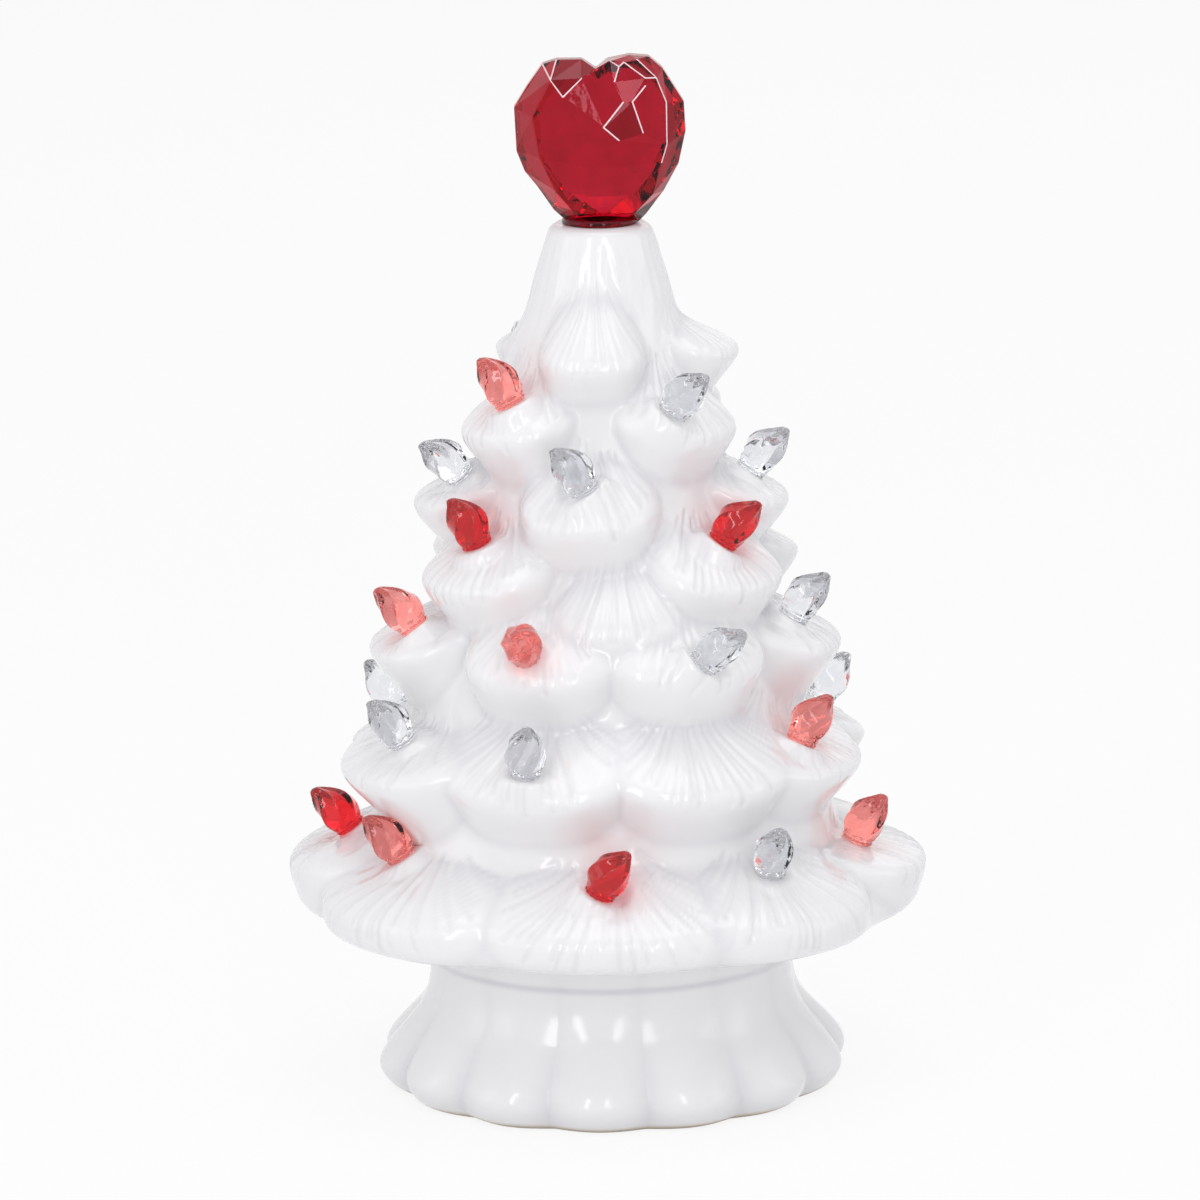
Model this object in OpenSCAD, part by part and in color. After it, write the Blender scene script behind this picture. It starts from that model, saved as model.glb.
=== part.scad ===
// Ceramic tabletop tree: a glazed tree shell that stands on a fluted base, with twist
// bulbs in its boughs, a faceted heart on top and a button-cell light unit in the base.
// Millimetres. +Z is up, -Y is the front, and the origin is on the table, under the axis.

/* [Tree shell] */
// Height of the tree shell, from the deck of the base to its flat top
tree_h = 116; // [96:1:140]
// Radius at the tips of the lowest boughs
skirt_r = 53; // [48:0.5:64]
// Thickness of the ceramic, where the surface lies deepest
tree_wall = 2.8; // [2:0.1:3.5]
// Thickness of the floor that closes the skirt underneath
tree_floor = 3; // [2:0.5:5]
// Thickness of the ceramic under the flat top, which the heart's peg passes through
roof_t = 5; // [3:0.5:7]
// Radius of the skirt's rounded lower edge
lip_r = 3; // [1:0.5:4]
// Sharpness of the creases between boughs: the radius over which they melt together
glaze_blend = 1.2; // [0.4:0.1:1.5]

/* [Base] */
// Height of the base, from the table to its deck
base_h = 30; // [26:1:40]
// Radius of the base at its widest
foot_r = 39.8; // [36:0.2:46]
// Radius of the neck under the skirt
neck_r = 30.4; // [30:0.2:36]
// Number of flutes round the base
flutes = 14; // [10:1:20]
// Depth of the flutes at the foot
flute_depth = 1.8; // [0.5:0.1:2.5]
// Thickness of the base's deck
deck_t = 3; // [2:0.5:4]
// Height of the ring that keeps the tree in place
ring_h = 3.2; // [2:0.1:5]
// Outer radius of that ring
ring_r = 25; // [22:0.5:27]
// Thickness of that ring
ring_t = 3; // [2:0.5:4]

/* [Bulbs] */
// Radius of a bulb at its widest
bulb_r = 3.5; // [3:0.05:4.5]
// Length of a bulb from its collar to its tip
bulb_len = 8.4; // [6:0.1:14]
// Radius of the peg that holds it in the shell
peg_r = 2; // [1.5:0.1:2.4]
// Length of that peg
peg_len = 9; // [6:0.5:12]
// Thickness of the bulb's collar
collar_t = 0.8; // [0.5:0.1:2]

/* [Heart] */
// Width of the heart
heart_w = 29; // [22:0.5:36]
// Height of the heart above its flange
heart_h = 27; // [20:0.5:36]
// Thickness of the heart, front to back
heart_t = 17; // [12:0.5:24]
// Radius of the round flange under the heart
flange_r = 6.7; // [5:0.1:7.4]
// Thickness of that flange
flange_t = 1.8; // [1:0.1:3]
// Radius of the heart's peg
heart_peg_r = 3.4; // [2.5:0.1:3.8]
// Length of the heart's peg
heart_peg_len = 8; // [5:0.5:12]

/* [Light unit] */
// Radius of the unit's housing
unit_r = 25; // [21:0.5:25.5]
// Thickness of the plastic walls
unit_wall = 1.4; // [1:0.1:2]
// Radius of the plate that closes the base underneath
plate_r = 29; // [27:0.5:30]
// Thickness of that plate
plate_t = 2; // [1.6:0.1:3]
// Height of the plate's underside above the table
plate_lift = 1.2; // [0.8:0.1:2]
// Radius of a button cell
cell_r = 5.8; // [5.8:0.1:6.9]
// Thickness of a button cell
cell_t = 5.4; // [5.4]
// Number of button cells
cells = 3; // [3]
// Radius of the light dome
dome_r = 13.4; // [12:0.1:16]
// Height of the dome above the housing
dome_h = 17; // [13:0.5:24]
// Radius of an LED
led_r = 2.5; // [1.5:0.5:2.5]
// Travel of the switch knob
switch_travel = 2.6; // [1.5:0.1:3]

/* [Fits] */
// Clearance round pegs in the ceramic
peg_gap = 0.1; // [0.05:0.05:0.3]
// Clearance between the tree's opening and the ring of the base
ring_gap = 0.6; // [0.3:0.1:1]
// Clearance between loose-fitting plastic pieces
part_gap = 0.3; // [0.2:0.05:0.5]
// Clearance round screws
screw_gap = 0.05; // [0.02:0.01:0.1]

/* [Hidden] */
$fn = 64;
eps = 0.01;

// --- tree ---------------------------------------------------------------------------
// The surface is drawn at these nominal sizes and scaled to the sizes above.
NOMINAL_H = 116;
NOMINAL_SKIRT = 53;
tree_scale = tree_h / NOMINAL_H;
girth_scale = skirt_r / NOMINAL_SKIRT;
top_z = base_h + tree_h;

// Radius of the trunk-like core between the boughs, by height above the deck
CORE = [[0, 49.2], [3, 49], [5, 47.5], [8, 44], [10, 41.4], [12, 39.4], [14, 38.4], [18, 37.4],
        [24, 36], [30, 34.6], [40, 31.4], [52.5, 27.4], [74.5, 20.8], [89.5, 16.8], [98, 14.2],
        [102, 12.4], [107, 11.1], [111, 9.9], [114, 9], [115.3, 8.5], [116, 7.4]];

// Each tier: height of its tips, side fall, rise of the lower edge, under-slope and
// tip rounding, then its boughs. Each bough: direction, tip radius, half-width in
// degrees and the slope of its top. Directions run from the front, + to the right.
TIERS = [
    [94.5, 7, 1.2, 0.5, 2.6,
        [[-7, 20.8, 36, 1.1], [83, 22.6, 34, 2.4], [173, 21, 36, 1.1], [-115, 18.4, 34, 2.4]]],
    [83, 6.5, 1.5, 0.55, 3,
        [[-49, 26.7, 31, 1.6], [42, 26.2, 33, 1.5], [148, 26.5, 32, 1.6], [-150, 26.5, 32, 1.6]]],
    [69.5, 6.5, 2, 0.55, 3,
        [[-88, 31.7, 28, 2.4], [-7, 29.7, 29, 1.3], [85, 30.7, 28, 2.4], [173, 29.5, 29, 1.3]]],
    [58.5, 6.5, 2, 0.55, 3,
        [[-50, 34.5, 27, 1.7], [46, 34.2, 27, 1.6], [115, 34, 25, 2.4], [-134, 34, 27, 1.7]]],
    [52.5, 6.5, 2, 0.5, 3,
        [[5, 33, 24, 1.2], [-175, 33, 24, 1.2]]],
    [45.5, 6, 2, 0.5, 3,
        [[-80, 39.7, 24, 2.4], [-22, 38.2, 24, 1.4], [26, 38.2, 26, 1.4], [80, 39.4, 24, 2.4],
         [134, 39, 24, 2.4], [180, 38, 26, 1.4], [-134, 39, 24, 2.4]]],
    [27, 5, 2.5, 0.62, 3,
        [[-62, 47, 23, 2.4], [-20, 43.8, 24, 1.4], [25, 43.8, 24, 1.4], [62, 44.4, 23, 2.4],
         [110, 44.2, 23, 2.4], [155, 44, 24, 1.6], [-155, 44, 24, 1.6], [-110, 44, 23, 2.4]]],
    [7.5, 4, 1, 0.42, 2.6,
        [[-97, 54, 23, 2.6], [-50, 53, 24, 3.2], [0, 52.5, 24, 3.2], [39, 52.5, 22, 3.2],
         [86, 53, 19, 4], [136, 53, 24, 3.2], [177, 53, 24, 3.2], [-138, 53, 24, 3.2]]],
];

// Each bulb: tier, direction of its seat, height of its seat above the deck, heading
// and elevation of its axis, and colour.
BULBS = [
    [2, -44, 88.7, -82, 65, "pink"], [2, 29.5, 87.5, 64, 55, "clear"],
    [2, 152, 87, 152, 62, "red"], [2, -150, 88, -150, 62, "clear"],
    [3, -77.5, 74.9, -67, 47, "clear"], [3, -7, 75.8, -70, 60, "clear"],
    [3, 84.5, 74.4, 92, 56, "clear"], [3, 173, 75.5, 173, 55, "pink"],
    [4, -50.5, 65.5, -72, 68, "red"], [4, 44.5, 65.6, 89, 55, "red"],
    [4, 123, 64.5, 123, 60, "clear"], [4, -142, 65, -142, 58, "pink"],
    [5, -70.5, 50.4, -101, 52, "pink"], [5, -22, 50.2, -12, 40, "pink"],
    [5, 24.5, 48.3, 79, 46, "clear"], [5, 74, 50.9, 86, 59, "clear"],
    [5, 140, 50, 140, 58, "red"], [5, 180, 49, 180, 50, "clear"], [5, -140, 50, -140, 58, "red"],
    [6, -61.5, 32.7, -72, 60, "clear"], [6, -19.5, 31.3, 11, 80, "clear"],
    [6, 57.5, 32, 103, 64, "pink"], [6, 116, 30.8, 114, 62, "clear"],
    [6, 155, 32, 155, 55, "red"], [6, -155, 32, -155, 55, "pink"],
    [6, -116, 30.8, -114, 62, "clear"], [7, -90.5, 13.9, -85, 55, "red"],
    [7, -57.5, 14, -86, 57, "pink"], [7, -2.5, 12.4, 64, 63, "red"],
    [7, 38.5, 12.9, 29, 72, "clear"], [7, 79.5, 12.2, 78, 67, "pink"],
    [7, 136, 14.5, 136, 56, "red"], [7, 177, 14.5, 177, 56, "clear"],
    [7, -138, 14.5, -138, 56, "pink"]
];
BULB_NAMES = [for (i = [0 : len(BULBS) - 1]) str("bulb_", BULBS[i][5], "_", i + 1)];
BULB_COLOURS = [["clear", "white"], ["pink", "salmon"], ["red", "crimson"]];

// A point at a direction from the front, a radius and a height
function at(a, r, z) = [r * sin(a), -r * cos(a), z];

// How far an eave falls back from its tip at height h over it: steep above, gentle below
function eave(h, top, under, round) =
    let (mean = (top - under) / 2, half = (top + under) / 2, q = sqrt(1 - pow(mean / half, 2)),
         d = h - mean / half * round / (half * q))
    mean * d + sqrt(pow(half * d, 2) + round * round) - round * q;

// Difference of two directions, from -180 to 180
function turn(a, b) = (a - b + 540) % 360 - 180;

// How far a bough falls back at u half-widths from its middle: little at first, then steeply
function side_fall(u) = let (uu = min(u * u, 9)) 0.35 * uu + 0.65 * uu * uu;

// Radius of one bough at a direction and a nominal height
function bough_r(tier, bough, a, z) =
    let (side = side_fall(turn(a, bough[0]) / bough[2]))
    bough[1] - tier[1] * side - eave(z - tier[0] - tier[2] * side, bough[3], tier[3], tier[4]);

// Radius of the glazed surface, where core and boughs melt together
function nominal_r(a, z) =
    let (rs = concat([lookup(z, CORE)], [for (t = TIERS) for (b = t[5]) bough_r(t, b, a, z)]),
         m = max(rs), sum = [for (r = rs) if (r > m - 8) exp((r - m) / glaze_blend)])
    m + glaze_blend * ln(sum * [for (i = sum) 1]);
// How far the rounded lower edge draws in, by height above the deck
function lip_in(h) = h >= lip_r ? 0 : lip_r - sqrt(pow(lip_r, 2) - pow(lip_r - max(h, 0), 2));
function tree_r(a, z) = girth_scale * nominal_r(a, (z - base_h) / tree_scale) - lip_in(z - base_h);

// Radius of the hollow inside the tree
function hollow_r(z) = girth_scale * lookup((z - base_h) / tree_scale, CORE) - tree_wall;

// A closed skin over rings of points. All rings have as many points, and run
// anticlockwise seen from the last ring.
module skin(rings) {
    n = len(rings[0]);
    rows = len(rings);
    sides = [for (j = [0 : rows - 2]) for (i = [0 : n - 1])
        let (k = (i + 1) % n, low = j * n, high = low + n)
        for (face = [[low + i, high + k, low + k], [low + i, high + i, high + k]]) face];
    bottom = [for (i = [0 : n - 1]) i];
    top = [for (i = [n - 1 : -1 : 0]) (rows - 1) * n + i];
    polyhedron([for (ring = rings) for (p = ring) p], concat(sides, [bottom, top]));
}

SKIN_TURN = 5;
// Each bulb stands on a flat seat, a little wider than itself and open above
seat_gap = 0.2;
seat_open = 9.2;
bore_len = peg_len + 3;
TREE_ROWS = concat([-1, 0.3, 1, 2, 3, 4.5, 6, 7.5, 9, 10.5], [for (h = [12.5 : 2.5 : 112.5]) h],
    [114.2, 115.4, 116]);

module tree_outside() {
    skin([for (h = TREE_ROWS) [for (a = [0 : SKIN_TURN : 359])
        at(a, tree_r(a, base_h + h * tree_scale), base_h + h * tree_scale)]]);
}

module tree_hollow() {
    floor_z = base_h + tree_floor;
    roof_z = top_z - roof_t;
    hs = [for (i = [0 : 10]) floor_z + (roof_z - floor_z) * i / 10];
    rotate_extrude() polygon(concat([[0, floor_z]],
        [for (z = hs) [max(hollow_r(z), heart_peg_r + peg_gap), z]], [[0, roof_z]]));
}

// Moves its children to a bulb's seat, with their +Z along the bulb's axis
module on_seat(b) {
    z = base_h + b[2] * tree_scale;
    translate(at(b[1], tree_r(b[1], z), z))
        rotate([0, 0, b[3] - 90])
            rotate([0, 90 - b[4], 0])
                children();
}

module tree_shell() {
    color("white") difference() {
        tree_outside();
        tree_hollow();
        translate([0, 0, base_h - 10]) cylinder(r = skirt_r * 2, h = 10);
        translate([0, 0, base_h - eps]) cylinder(r = ring_r + ring_gap, h = tree_floor + 1);
        translate([0, 0, top_z - roof_t - 1]) cylinder(r = heart_peg_r + peg_gap, h = roof_t + 2);
        for (b = BULBS) on_seat(b) {
            translate([0, 0, -bore_len]) cylinder(r = peg_r + peg_gap, h = bore_len + 0.5, $fn = 32);
            cylinder(r = bulb_r + seat_gap, h = seat_open, $fn = 32);
        }
    }
}

// --- bulbs --------------------------------------------------------------------------
module bulb() {
    // half outline of the flame: share of the length, share of the radius
    flame = [[0, 0.84], [0.12, 0.96], [0.3, 1], [0.45, 0.97], [0.6, 0.87], [0.74, 0.69], [0.86, 0.46],
             [0.94, 0.28], [1, 0.14]];
    rotate_extrude($fn = 32) polygon(concat([[0, 0]],
        [[bulb_r * 0.8, 0], [bulb_r * 0.8, collar_t]],
        [for (p = flame) [bulb_r * p[1], collar_t + bulb_len * p[0]]],
        [[0, collar_t + bulb_len]]));
    translate([0, 0, -peg_len]) cylinder(r = peg_r, h = peg_len + eps, $fn = 32);
}

module tree_bulb(i) {
    color(BULB_COLOURS[search([BULBS[i][5]], BULB_COLOURS)[0]][1]) on_seat(BULBS[i]) bulb();
}

// --- heart --------------------------------------------------------------------------
// Right half of the outline, from the flange up and over to the notch: shares of half
// the width and of the height
HEART_SIDE = [[0.5, 0], [0.58, 0.05], [0.8, 0.17], [0.93, 0.3], [1, 0.42], [1, 0.68], [0.93, 0.82],
              [0.8, 0.93], [0.6, 1], [0.38, 1], [0.17, 0.94], [0, 0.81]];
// Facet rings from the middle to the front: share of the thickness, size of the outline
HEART_RINGS = [[-1, 0.4], [-0.8, 0.7], [-0.42, 0.93], [0, 1], [0.42, 0.93], [0.8, 0.7], [1, 0.4]];
HEART_MIDDLE = 0.52;
heart_sink = 0.4;
heart_z = top_z + flange_t - heart_sink;

module heart_gem() {
    left = [for (i = [len(HEART_SIDE) - 2 : -1 : 0]) [-HEART_SIDE[i][0], HEART_SIDE[i][1]]];
    outline = concat(HEART_SIDE, left);
    translate([0, 0, heart_z]) rotate([90, 0, 0]) skin([for (r = HEART_RINGS)
        [for (p = outline) [heart_w / 2 * p[0] * r[1],
            heart_h * (HEART_MIDDLE + (p[1] - HEART_MIDDLE) * r[1]), heart_t / 2 * r[0]]]]);
}

module heart_topper() {
    neck_up = heart_h / 8;
    color("crimson") union() {
        heart_gem();
        translate([0, 0, top_z]) cylinder(r = flange_r, h = flange_t);
        translate([0, 0, top_z]) cylinder(r = flange_r * 0.75, h = flange_t + neck_up);
        translate([0, 0, top_z - heart_peg_len]) cylinder(r = heart_peg_r, h = heart_peg_len + eps);
    }
}

// --- base ---------------------------------------------------------------------------
NOMINAL_BASE = 30;
// Share of the way from the neck radius to the foot radius, by nominal height
BASE_SIDE = [[-1, 0.6], [0, 0.62], [1, 0.76], [2.8, 0.93], [4.5, 1], [6.2, 0.95], [7.9, 0.81], [9.7, 0.64],
             [11.4, 0.46], [13.1, 0.28], [14.8, 0.16], [16.5, 0.08], [19.5, 0.02], [22, 0], [26, 0], [30, 0]];
FLUTE_STEPS = 8;
LOBE_AT = -4;
seal_t = 1.5;
plate_top = plate_lift + plate_t;
dome_hole_r = dome_r + 2 * part_gap;

// Radius of the base, with round lobes and sharp creases between them
function base_r(a, share) =
    neck_r + (foot_r - neck_r) * share
    - flute_depth * (0.35 + 0.65 * share) * (1 - abs(cos((a - LOBE_AT) * flutes / 2)));

module base_outside() {
    turn_step = 360 / (flutes * FLUTE_STEPS);
    skin([for (s = BASE_SIDE) [for (i = [0 : flutes * FLUTE_STEPS - 1])
        at(i * turn_step + LOBE_AT, base_r(i * turn_step + LOBE_AT, s[1]), s[0] / NOMINAL_BASE * base_h)]]);
}

module base_shell() {
    unit_hole_r = unit_r + seal_t;
    color("white") difference() {
        union() {
            base_outside();
            translate([0, 0, base_h - deck_t]) cylinder(r = ring_r, h = deck_t + ring_h);
        }
        translate([0, 0, -10]) cylinder(r = foot_r * 2, h = 10);
        rotate_extrude() polygon([[0, -1], [plate_r + part_gap, -1], [plate_r + part_gap, plate_top],
            [unit_hole_r, plate_top], [unit_hole_r, base_h - deck_t], [dome_hole_r, base_h - deck_t],
            [dome_hole_r, base_h], [0, base_h]]);
        translate([0, 0, base_h]) cylinder(r = ring_r - ring_t, h = ring_h + 1);
    }
}

// --- light unit ---------------------------------------------------------------------
cell_gap = 0.3;
contact_t = 0.4;
spring_len = 4.2;
bay_len = cells * cell_t + spring_len + 2 * contact_t;
bay_w = 2 * (cell_r + cell_gap);
bay_inner_h = 2 * (cell_r + cell_gap) + 0.4;
bay_h = bay_inner_h + unit_wall;
wire_room = 1;
unit_h = bay_h + wire_room + unit_wall;
unit_top = plate_top + unit_h;
cell_z = plate_top + bay_inner_h / 2;
cells_x = bay_len / 2 - contact_t - cells * cell_t;
boss_r = 2.8;
door_screw_x = bay_len / 2 + unit_wall + boss_r;
door_left = -bay_len / 2 - unit_wall;
door_right = door_screw_x + boss_r;
door_w = bay_w + 2 * unit_wall;
screw_r = 0.95;
head_r = 2;
head_h = 0.9;
screw_len = 7;
boss_bite = 0.3;
plate_screw_r = unit_r - unit_wall - boss_r + boss_bite;
PLATE_SCREWS = [for (a = [40, 140, 270]) plate_screw_r * [cos(a), sin(a)]];
SWITCH_SIZE = [8.6, 4.4, 4];
KNOB_SIZE = [2.2, 2, 4];
KNOB_SLOT = [KNOB_SIZE[0] + switch_travel + 2 * part_gap, KNOB_SIZE[1] + 2 * part_gap];
knob_drop = 0.4;
switch_inset = 3.8;
switch_y = unit_r - unit_wall - switch_inset - SWITCH_SIZE[1] / 2;
board_t = 1.2;
dome_wall = 1.2;
dome_lip = 2;
board_r = dome_r - dome_wall - 1;
led_flange_r = led_r + 0.4;
led_h = 8.6;
led_ring_r = board_r - led_flange_r - 1.5;
wire_r = 0.45;
wire_y = 9;
tab_z = plate_top + bay_h + 0.6;
WIRE_HOLE_R = 2;

// A block centred in X and Y that stands on z
module block(size, x = 0, y = 0, z = 0) {
    translate([x - size[0] / 2, y - size[1] / 2, z]) cube(size);
}

module door_outline(gap) {
    translate([door_left - gap, -door_w / 2 - gap, plate_lift - eps])
        cube([door_right - door_left + 2 * gap, door_w + 2 * gap, plate_t + 2 * eps]);
}

module unit_plate() {
    color("whitesmoke") difference() {
        translate([0, 0, plate_lift]) cylinder(r = plate_r, h = plate_t);
        door_outline(part_gap);
        block([KNOB_SLOT[0], KNOB_SLOT[1], plate_t + 2], y = switch_y, z = plate_lift - 1);
        for (p = PLATE_SCREWS) translate([p[0], p[1], plate_lift]) {
            translate([0, 0, -1]) cylinder(r = screw_r + part_gap, h = plate_t + 2, $fn = 32);
            translate([0, 0, -1]) cylinder(r = head_r + part_gap, h = 1 + head_h + 0.1, $fn = 32);
        }
    }
}

module unit_housing() {
    color("whitesmoke") difference() {
        union() {
            difference() {
                translate([0, 0, plate_top]) cylinder(r = unit_r, h = unit_h);
                translate([0, 0, plate_top - 1]) cylinder(r = unit_r - unit_wall, h = unit_h + 1 - unit_wall);
            }
            for (p = PLATE_SCREWS)
                translate([p[0], p[1], plate_top])
                    cylinder(r = boss_r, h = unit_h - unit_wall + eps, $fn = 32);
        }
        for (p = PLATE_SCREWS)
            translate([p[0], p[1], plate_top - 1])
                cylinder(r = screw_r + screw_gap, h = screw_len + 2, $fn = 32);
        translate([0, wire_y, unit_top - unit_wall - 1]) cylinder(r = WIRE_HOLE_R, h = unit_wall + 2);
    }
}

module battery_bay() {
    color("dimgray") difference() {
        union() {
            block([bay_len + 2 * unit_wall, door_w, bay_h], z = plate_top);
            translate([door_screw_x, 0, plate_top]) cylinder(r = boss_r, h = screw_len + 1, $fn = 32);
            block([boss_r, boss_r, screw_len + 1],
                  x = bay_len / 2 + unit_wall + boss_r / 2 - eps, z = plate_top);
        }
        block([bay_len, bay_w, bay_inner_h + 1], z = plate_top - 1);
        for (side = [-1, 1])
            block([contact_t + 0.4, 4.4, bay_h], x = side * (bay_len - contact_t) / 2, z = plate_top + 2);
        translate([door_screw_x, 0, plate_top - 1])
            cylinder(r = screw_r + screw_gap, h = screw_len, $fn = 32);
    }
}

module contact_strip(side) {
    block([contact_t, bay_w - 1, bay_inner_h - 2], x = side * (bay_len - contact_t) / 2, z = plate_top + 1.5);
    block([contact_t, 4, tab_z - plate_top - 2], x = side * (bay_len - contact_t) / 2, z = plate_top + 2);
}

module plate_contact() {
    color("silver") contact_strip(1);
}

module spring_contact() {
    coils = 6;
    coil_wire_r = 0.37;
    pitch = (spring_len - 2 * coil_wire_r) / (coils - 1);
    color("silver") union() {
        contact_strip(-1);
        for (i = [0 : coils - 1])
            translate([-bay_len / 2 + contact_t + coil_wire_r * 0.9 + pitch * i, 0, cell_z])
                rotate([0, 90, 0])
                    rotate_extrude() translate([4.2 - 0.2 * i, 0]) circle(r = coil_wire_r, $fn = 16);
    }
}

module cell(i) {
    rim = 0.7;
    color("silver") translate([cells_x + cell_t * i, 0, cell_z]) rotate([0, 90, 0]) {
        cylinder(r = cell_r * 0.84, h = rim + eps);
        translate([0, 0, rim]) cylinder(r = cell_r, h = cell_t - rim);
    }
}

module screw(z) {
    translate([0, 0, z]) cylinder(r = head_r, h = head_h, $fn = 32);
    translate([0, 0, z]) cylinder(r = screw_r, h = screw_len + head_h, $fn = 32);
}

module plate_screws() {
    color("silver") for (p = PLATE_SCREWS) translate([p[0], p[1], 0]) screw(plate_lift + 0.1);
}

module door_screw() {
    color("silver") translate([door_screw_x, 0, 0]) screw(plate_lift + 0.1);
}

module battery_door() {
    color("gainsboro") difference() {
        translate([door_left, -door_w / 2, plate_lift])
            cube([door_right - door_left, door_w, plate_t]);
        translate([door_screw_x, 0, plate_lift - 1])
            cylinder(r = screw_r + part_gap, h = plate_t + 2, $fn = 32);
        translate([door_screw_x, 0, plate_lift - 1])
            cylinder(r = head_r + part_gap, h = 1 + head_h + 0.1, $fn = 32);
    }
}

module switch_body() {
    color("black") difference() {
        block(SWITCH_SIZE, y = switch_y, z = plate_top);
        block([KNOB_SLOT[0], KNOB_SLOT[1], SWITCH_SIZE[2] / 2 + 1], y = switch_y, z = plate_top - 1);
    }
}

module switch_knob() {
    color("black") block(KNOB_SIZE, x = -switch_travel / 2, y = switch_y, z = plate_lift - knob_drop);
}

module gasket_ring() {
    color("lightgray") translate([0, 0, plate_top + 4]) rotate_extrude()
        polygon([[unit_r + 0.05, 0], [unit_r + seal_t - 0.05, 1], [unit_r + 0.8, 2],
                 [unit_r + seal_t - 0.05, 3], [unit_r + 0.05, 4]]);
}

module led_board() {
    color("seagreen") translate([0, 0, unit_top]) cylinder(r = board_r, h = board_t);
}

module led(i) {
    arc = [for (t = [0 : 10 : 90]) [led_r * cos(t), led_h - led_r + led_r * sin(t)]];
    color("lightyellow") rotate([0, 0, 90 + 120 * i]) translate([led_ring_r, 0, unit_top + board_t])
        rotate_extrude($fn = 32)
            polygon(concat([[0, 0], [led_flange_r, 0], [led_flange_r, 1], [led_r, 1]], arc));
}

module resistor() {
    color("tan") translate([-3, 0, unit_top + board_t + 1.15]) rotate([0, 90, 0])
        cylinder(r = 1.1, h = 6, $fn = 32);
}

// Half outline of a wall with a round top: radius, height and height of the round part
function dome_arc(r, h, rise) = [for (t = [0 : 7.5 : 90]) [r * cos(t), h - rise + rise * sin(t)]];

module light_dome() {
    rise = dome_r * 0.62;
    outside = dome_arc(dome_r, dome_h, rise);
    inside = dome_arc(dome_r - dome_wall, dome_h - dome_wall, rise);
    color("ivory") translate([0, 0, unit_top]) rotate_extrude() polygon(concat(
        [[dome_r - dome_wall, 0], [dome_r + dome_lip, 0], [dome_r + dome_lip, board_t], [dome_r, board_t]],
        outside, [for (i = [len(inside) - 1 : -1 : 0]) inside[i]]));
}

WIRE_SIDES = 8;
// Any direction that no wire starts in
WIRE_ROLL = [3, 1, 2];

function unit(v) = v / norm(v);

// Direction of a wire at point i, halfway between the stretches that meet there
function heading(points, i) =
    let (last = len(points) - 1)
    unit((i > 0 ? unit(points[i] - points[i - 1]) : [0, 0, 0])
         + (i < last ? unit(points[i + 1] - points[i]) : [0, 0, 0]));

// Sideways direction at point i, carried along the wire so that it doesn't twist
function sideways(points, i) =
    let (d = heading(points, i), w = i == 0 ? cross(WIRE_ROLL, d) : sideways(points, i - 1))
    unit(w - d * (w * d));

// A wire along a few points
module wire(points) {
    skin([for (i = [0 : len(points) - 1])
        let (d = heading(points, i), u = sideways(points, i), v = cross(d, u))
        [for (k = [0 : WIRE_SIDES - 1])
            points[i] + wire_r * (u * cos(360 * k / WIRE_SIDES) + v * sin(360 * k / WIRE_SIDES))]]);
}

wire_z = plate_top + bay_h + wire_r + 0.05;
wire_end = unit_top - 0.05;
tab_x = (bay_len - contact_t) / 2;
tab_y = 2 + wire_r + 0.05;
switch_top = plate_top + SWITCH_SIZE[2] + 0.05;
bay_clear = 1.1;
pole = 2.5;
pair = 0.8;

module wire_red() {
    color("red") wire([[tab_x, tab_y, wire_z], [5, wire_y, wire_z], [pair, wire_y, wire_z],
                       [pair, wire_y, wire_end]]);
}

module wire_black() {
    color("black") wire([[-tab_x, tab_y, wire_z], [-tab_x, door_w / 2 + bay_clear, wire_z], [-7, 13, 11],
                         [-pole, switch_y, 9], [-pole, switch_y, switch_top]]);
}

module wire_white() {
    color("white") wire([[pole, switch_y, switch_top], [pole, switch_y, 12], [-pair, 13, 16],
                         [-pair, wire_y, wire_z], [-pair, wire_y, wire_end]]);
}

CELL_NAMES = [for (i = [1 : cells]) str("button_cell_", i)];
LED_NAMES = [for (i = [1 : 3]) str("led_", i)];

tree_shell();
base_shell();
heart_topper();
for (i = [0 : len(BULBS) - 1]) tree_bulb(i);
unit_plate();
unit_housing();
battery_bay();
plate_contact();
spring_contact();
for (i = [0 : cells - 1]) cell(i);
battery_door();
door_screw();
plate_screws();
switch_body();
switch_knob();
gasket_ring();
led_board();
resistor();
light_dome();
wire_red();
wire_black();
wire_white();
for (i = [0 : 2]) led(i);
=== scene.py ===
"""Looks of a ceramic tabletop tree: glazed boughs with carved needles, twisted flame bulbs,
a cut acrylic heart, a fluted base and the light unit inside it."""

import math

import bmesh
import bpy
import numpy as np
from mathutils import Matrix, Vector


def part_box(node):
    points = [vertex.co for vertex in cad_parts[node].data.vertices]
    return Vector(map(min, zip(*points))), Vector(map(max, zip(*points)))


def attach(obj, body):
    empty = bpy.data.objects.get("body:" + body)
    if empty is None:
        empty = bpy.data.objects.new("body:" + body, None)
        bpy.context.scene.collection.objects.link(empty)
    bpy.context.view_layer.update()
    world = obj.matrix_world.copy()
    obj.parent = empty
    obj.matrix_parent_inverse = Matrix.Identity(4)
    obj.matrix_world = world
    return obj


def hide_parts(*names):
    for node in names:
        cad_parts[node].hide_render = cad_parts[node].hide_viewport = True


bl_info = {
    "name": "Ceramic Tabletop Tree",
    "version": (1, 0, 0),
    "blender": (4, 5, 0),
    "location": "View3D > Sidebar > Tree",
    "description": "Builds a glazed tabletop tree with its bulbs, heart, base and light unit",
    "category": "Object",
}

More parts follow.
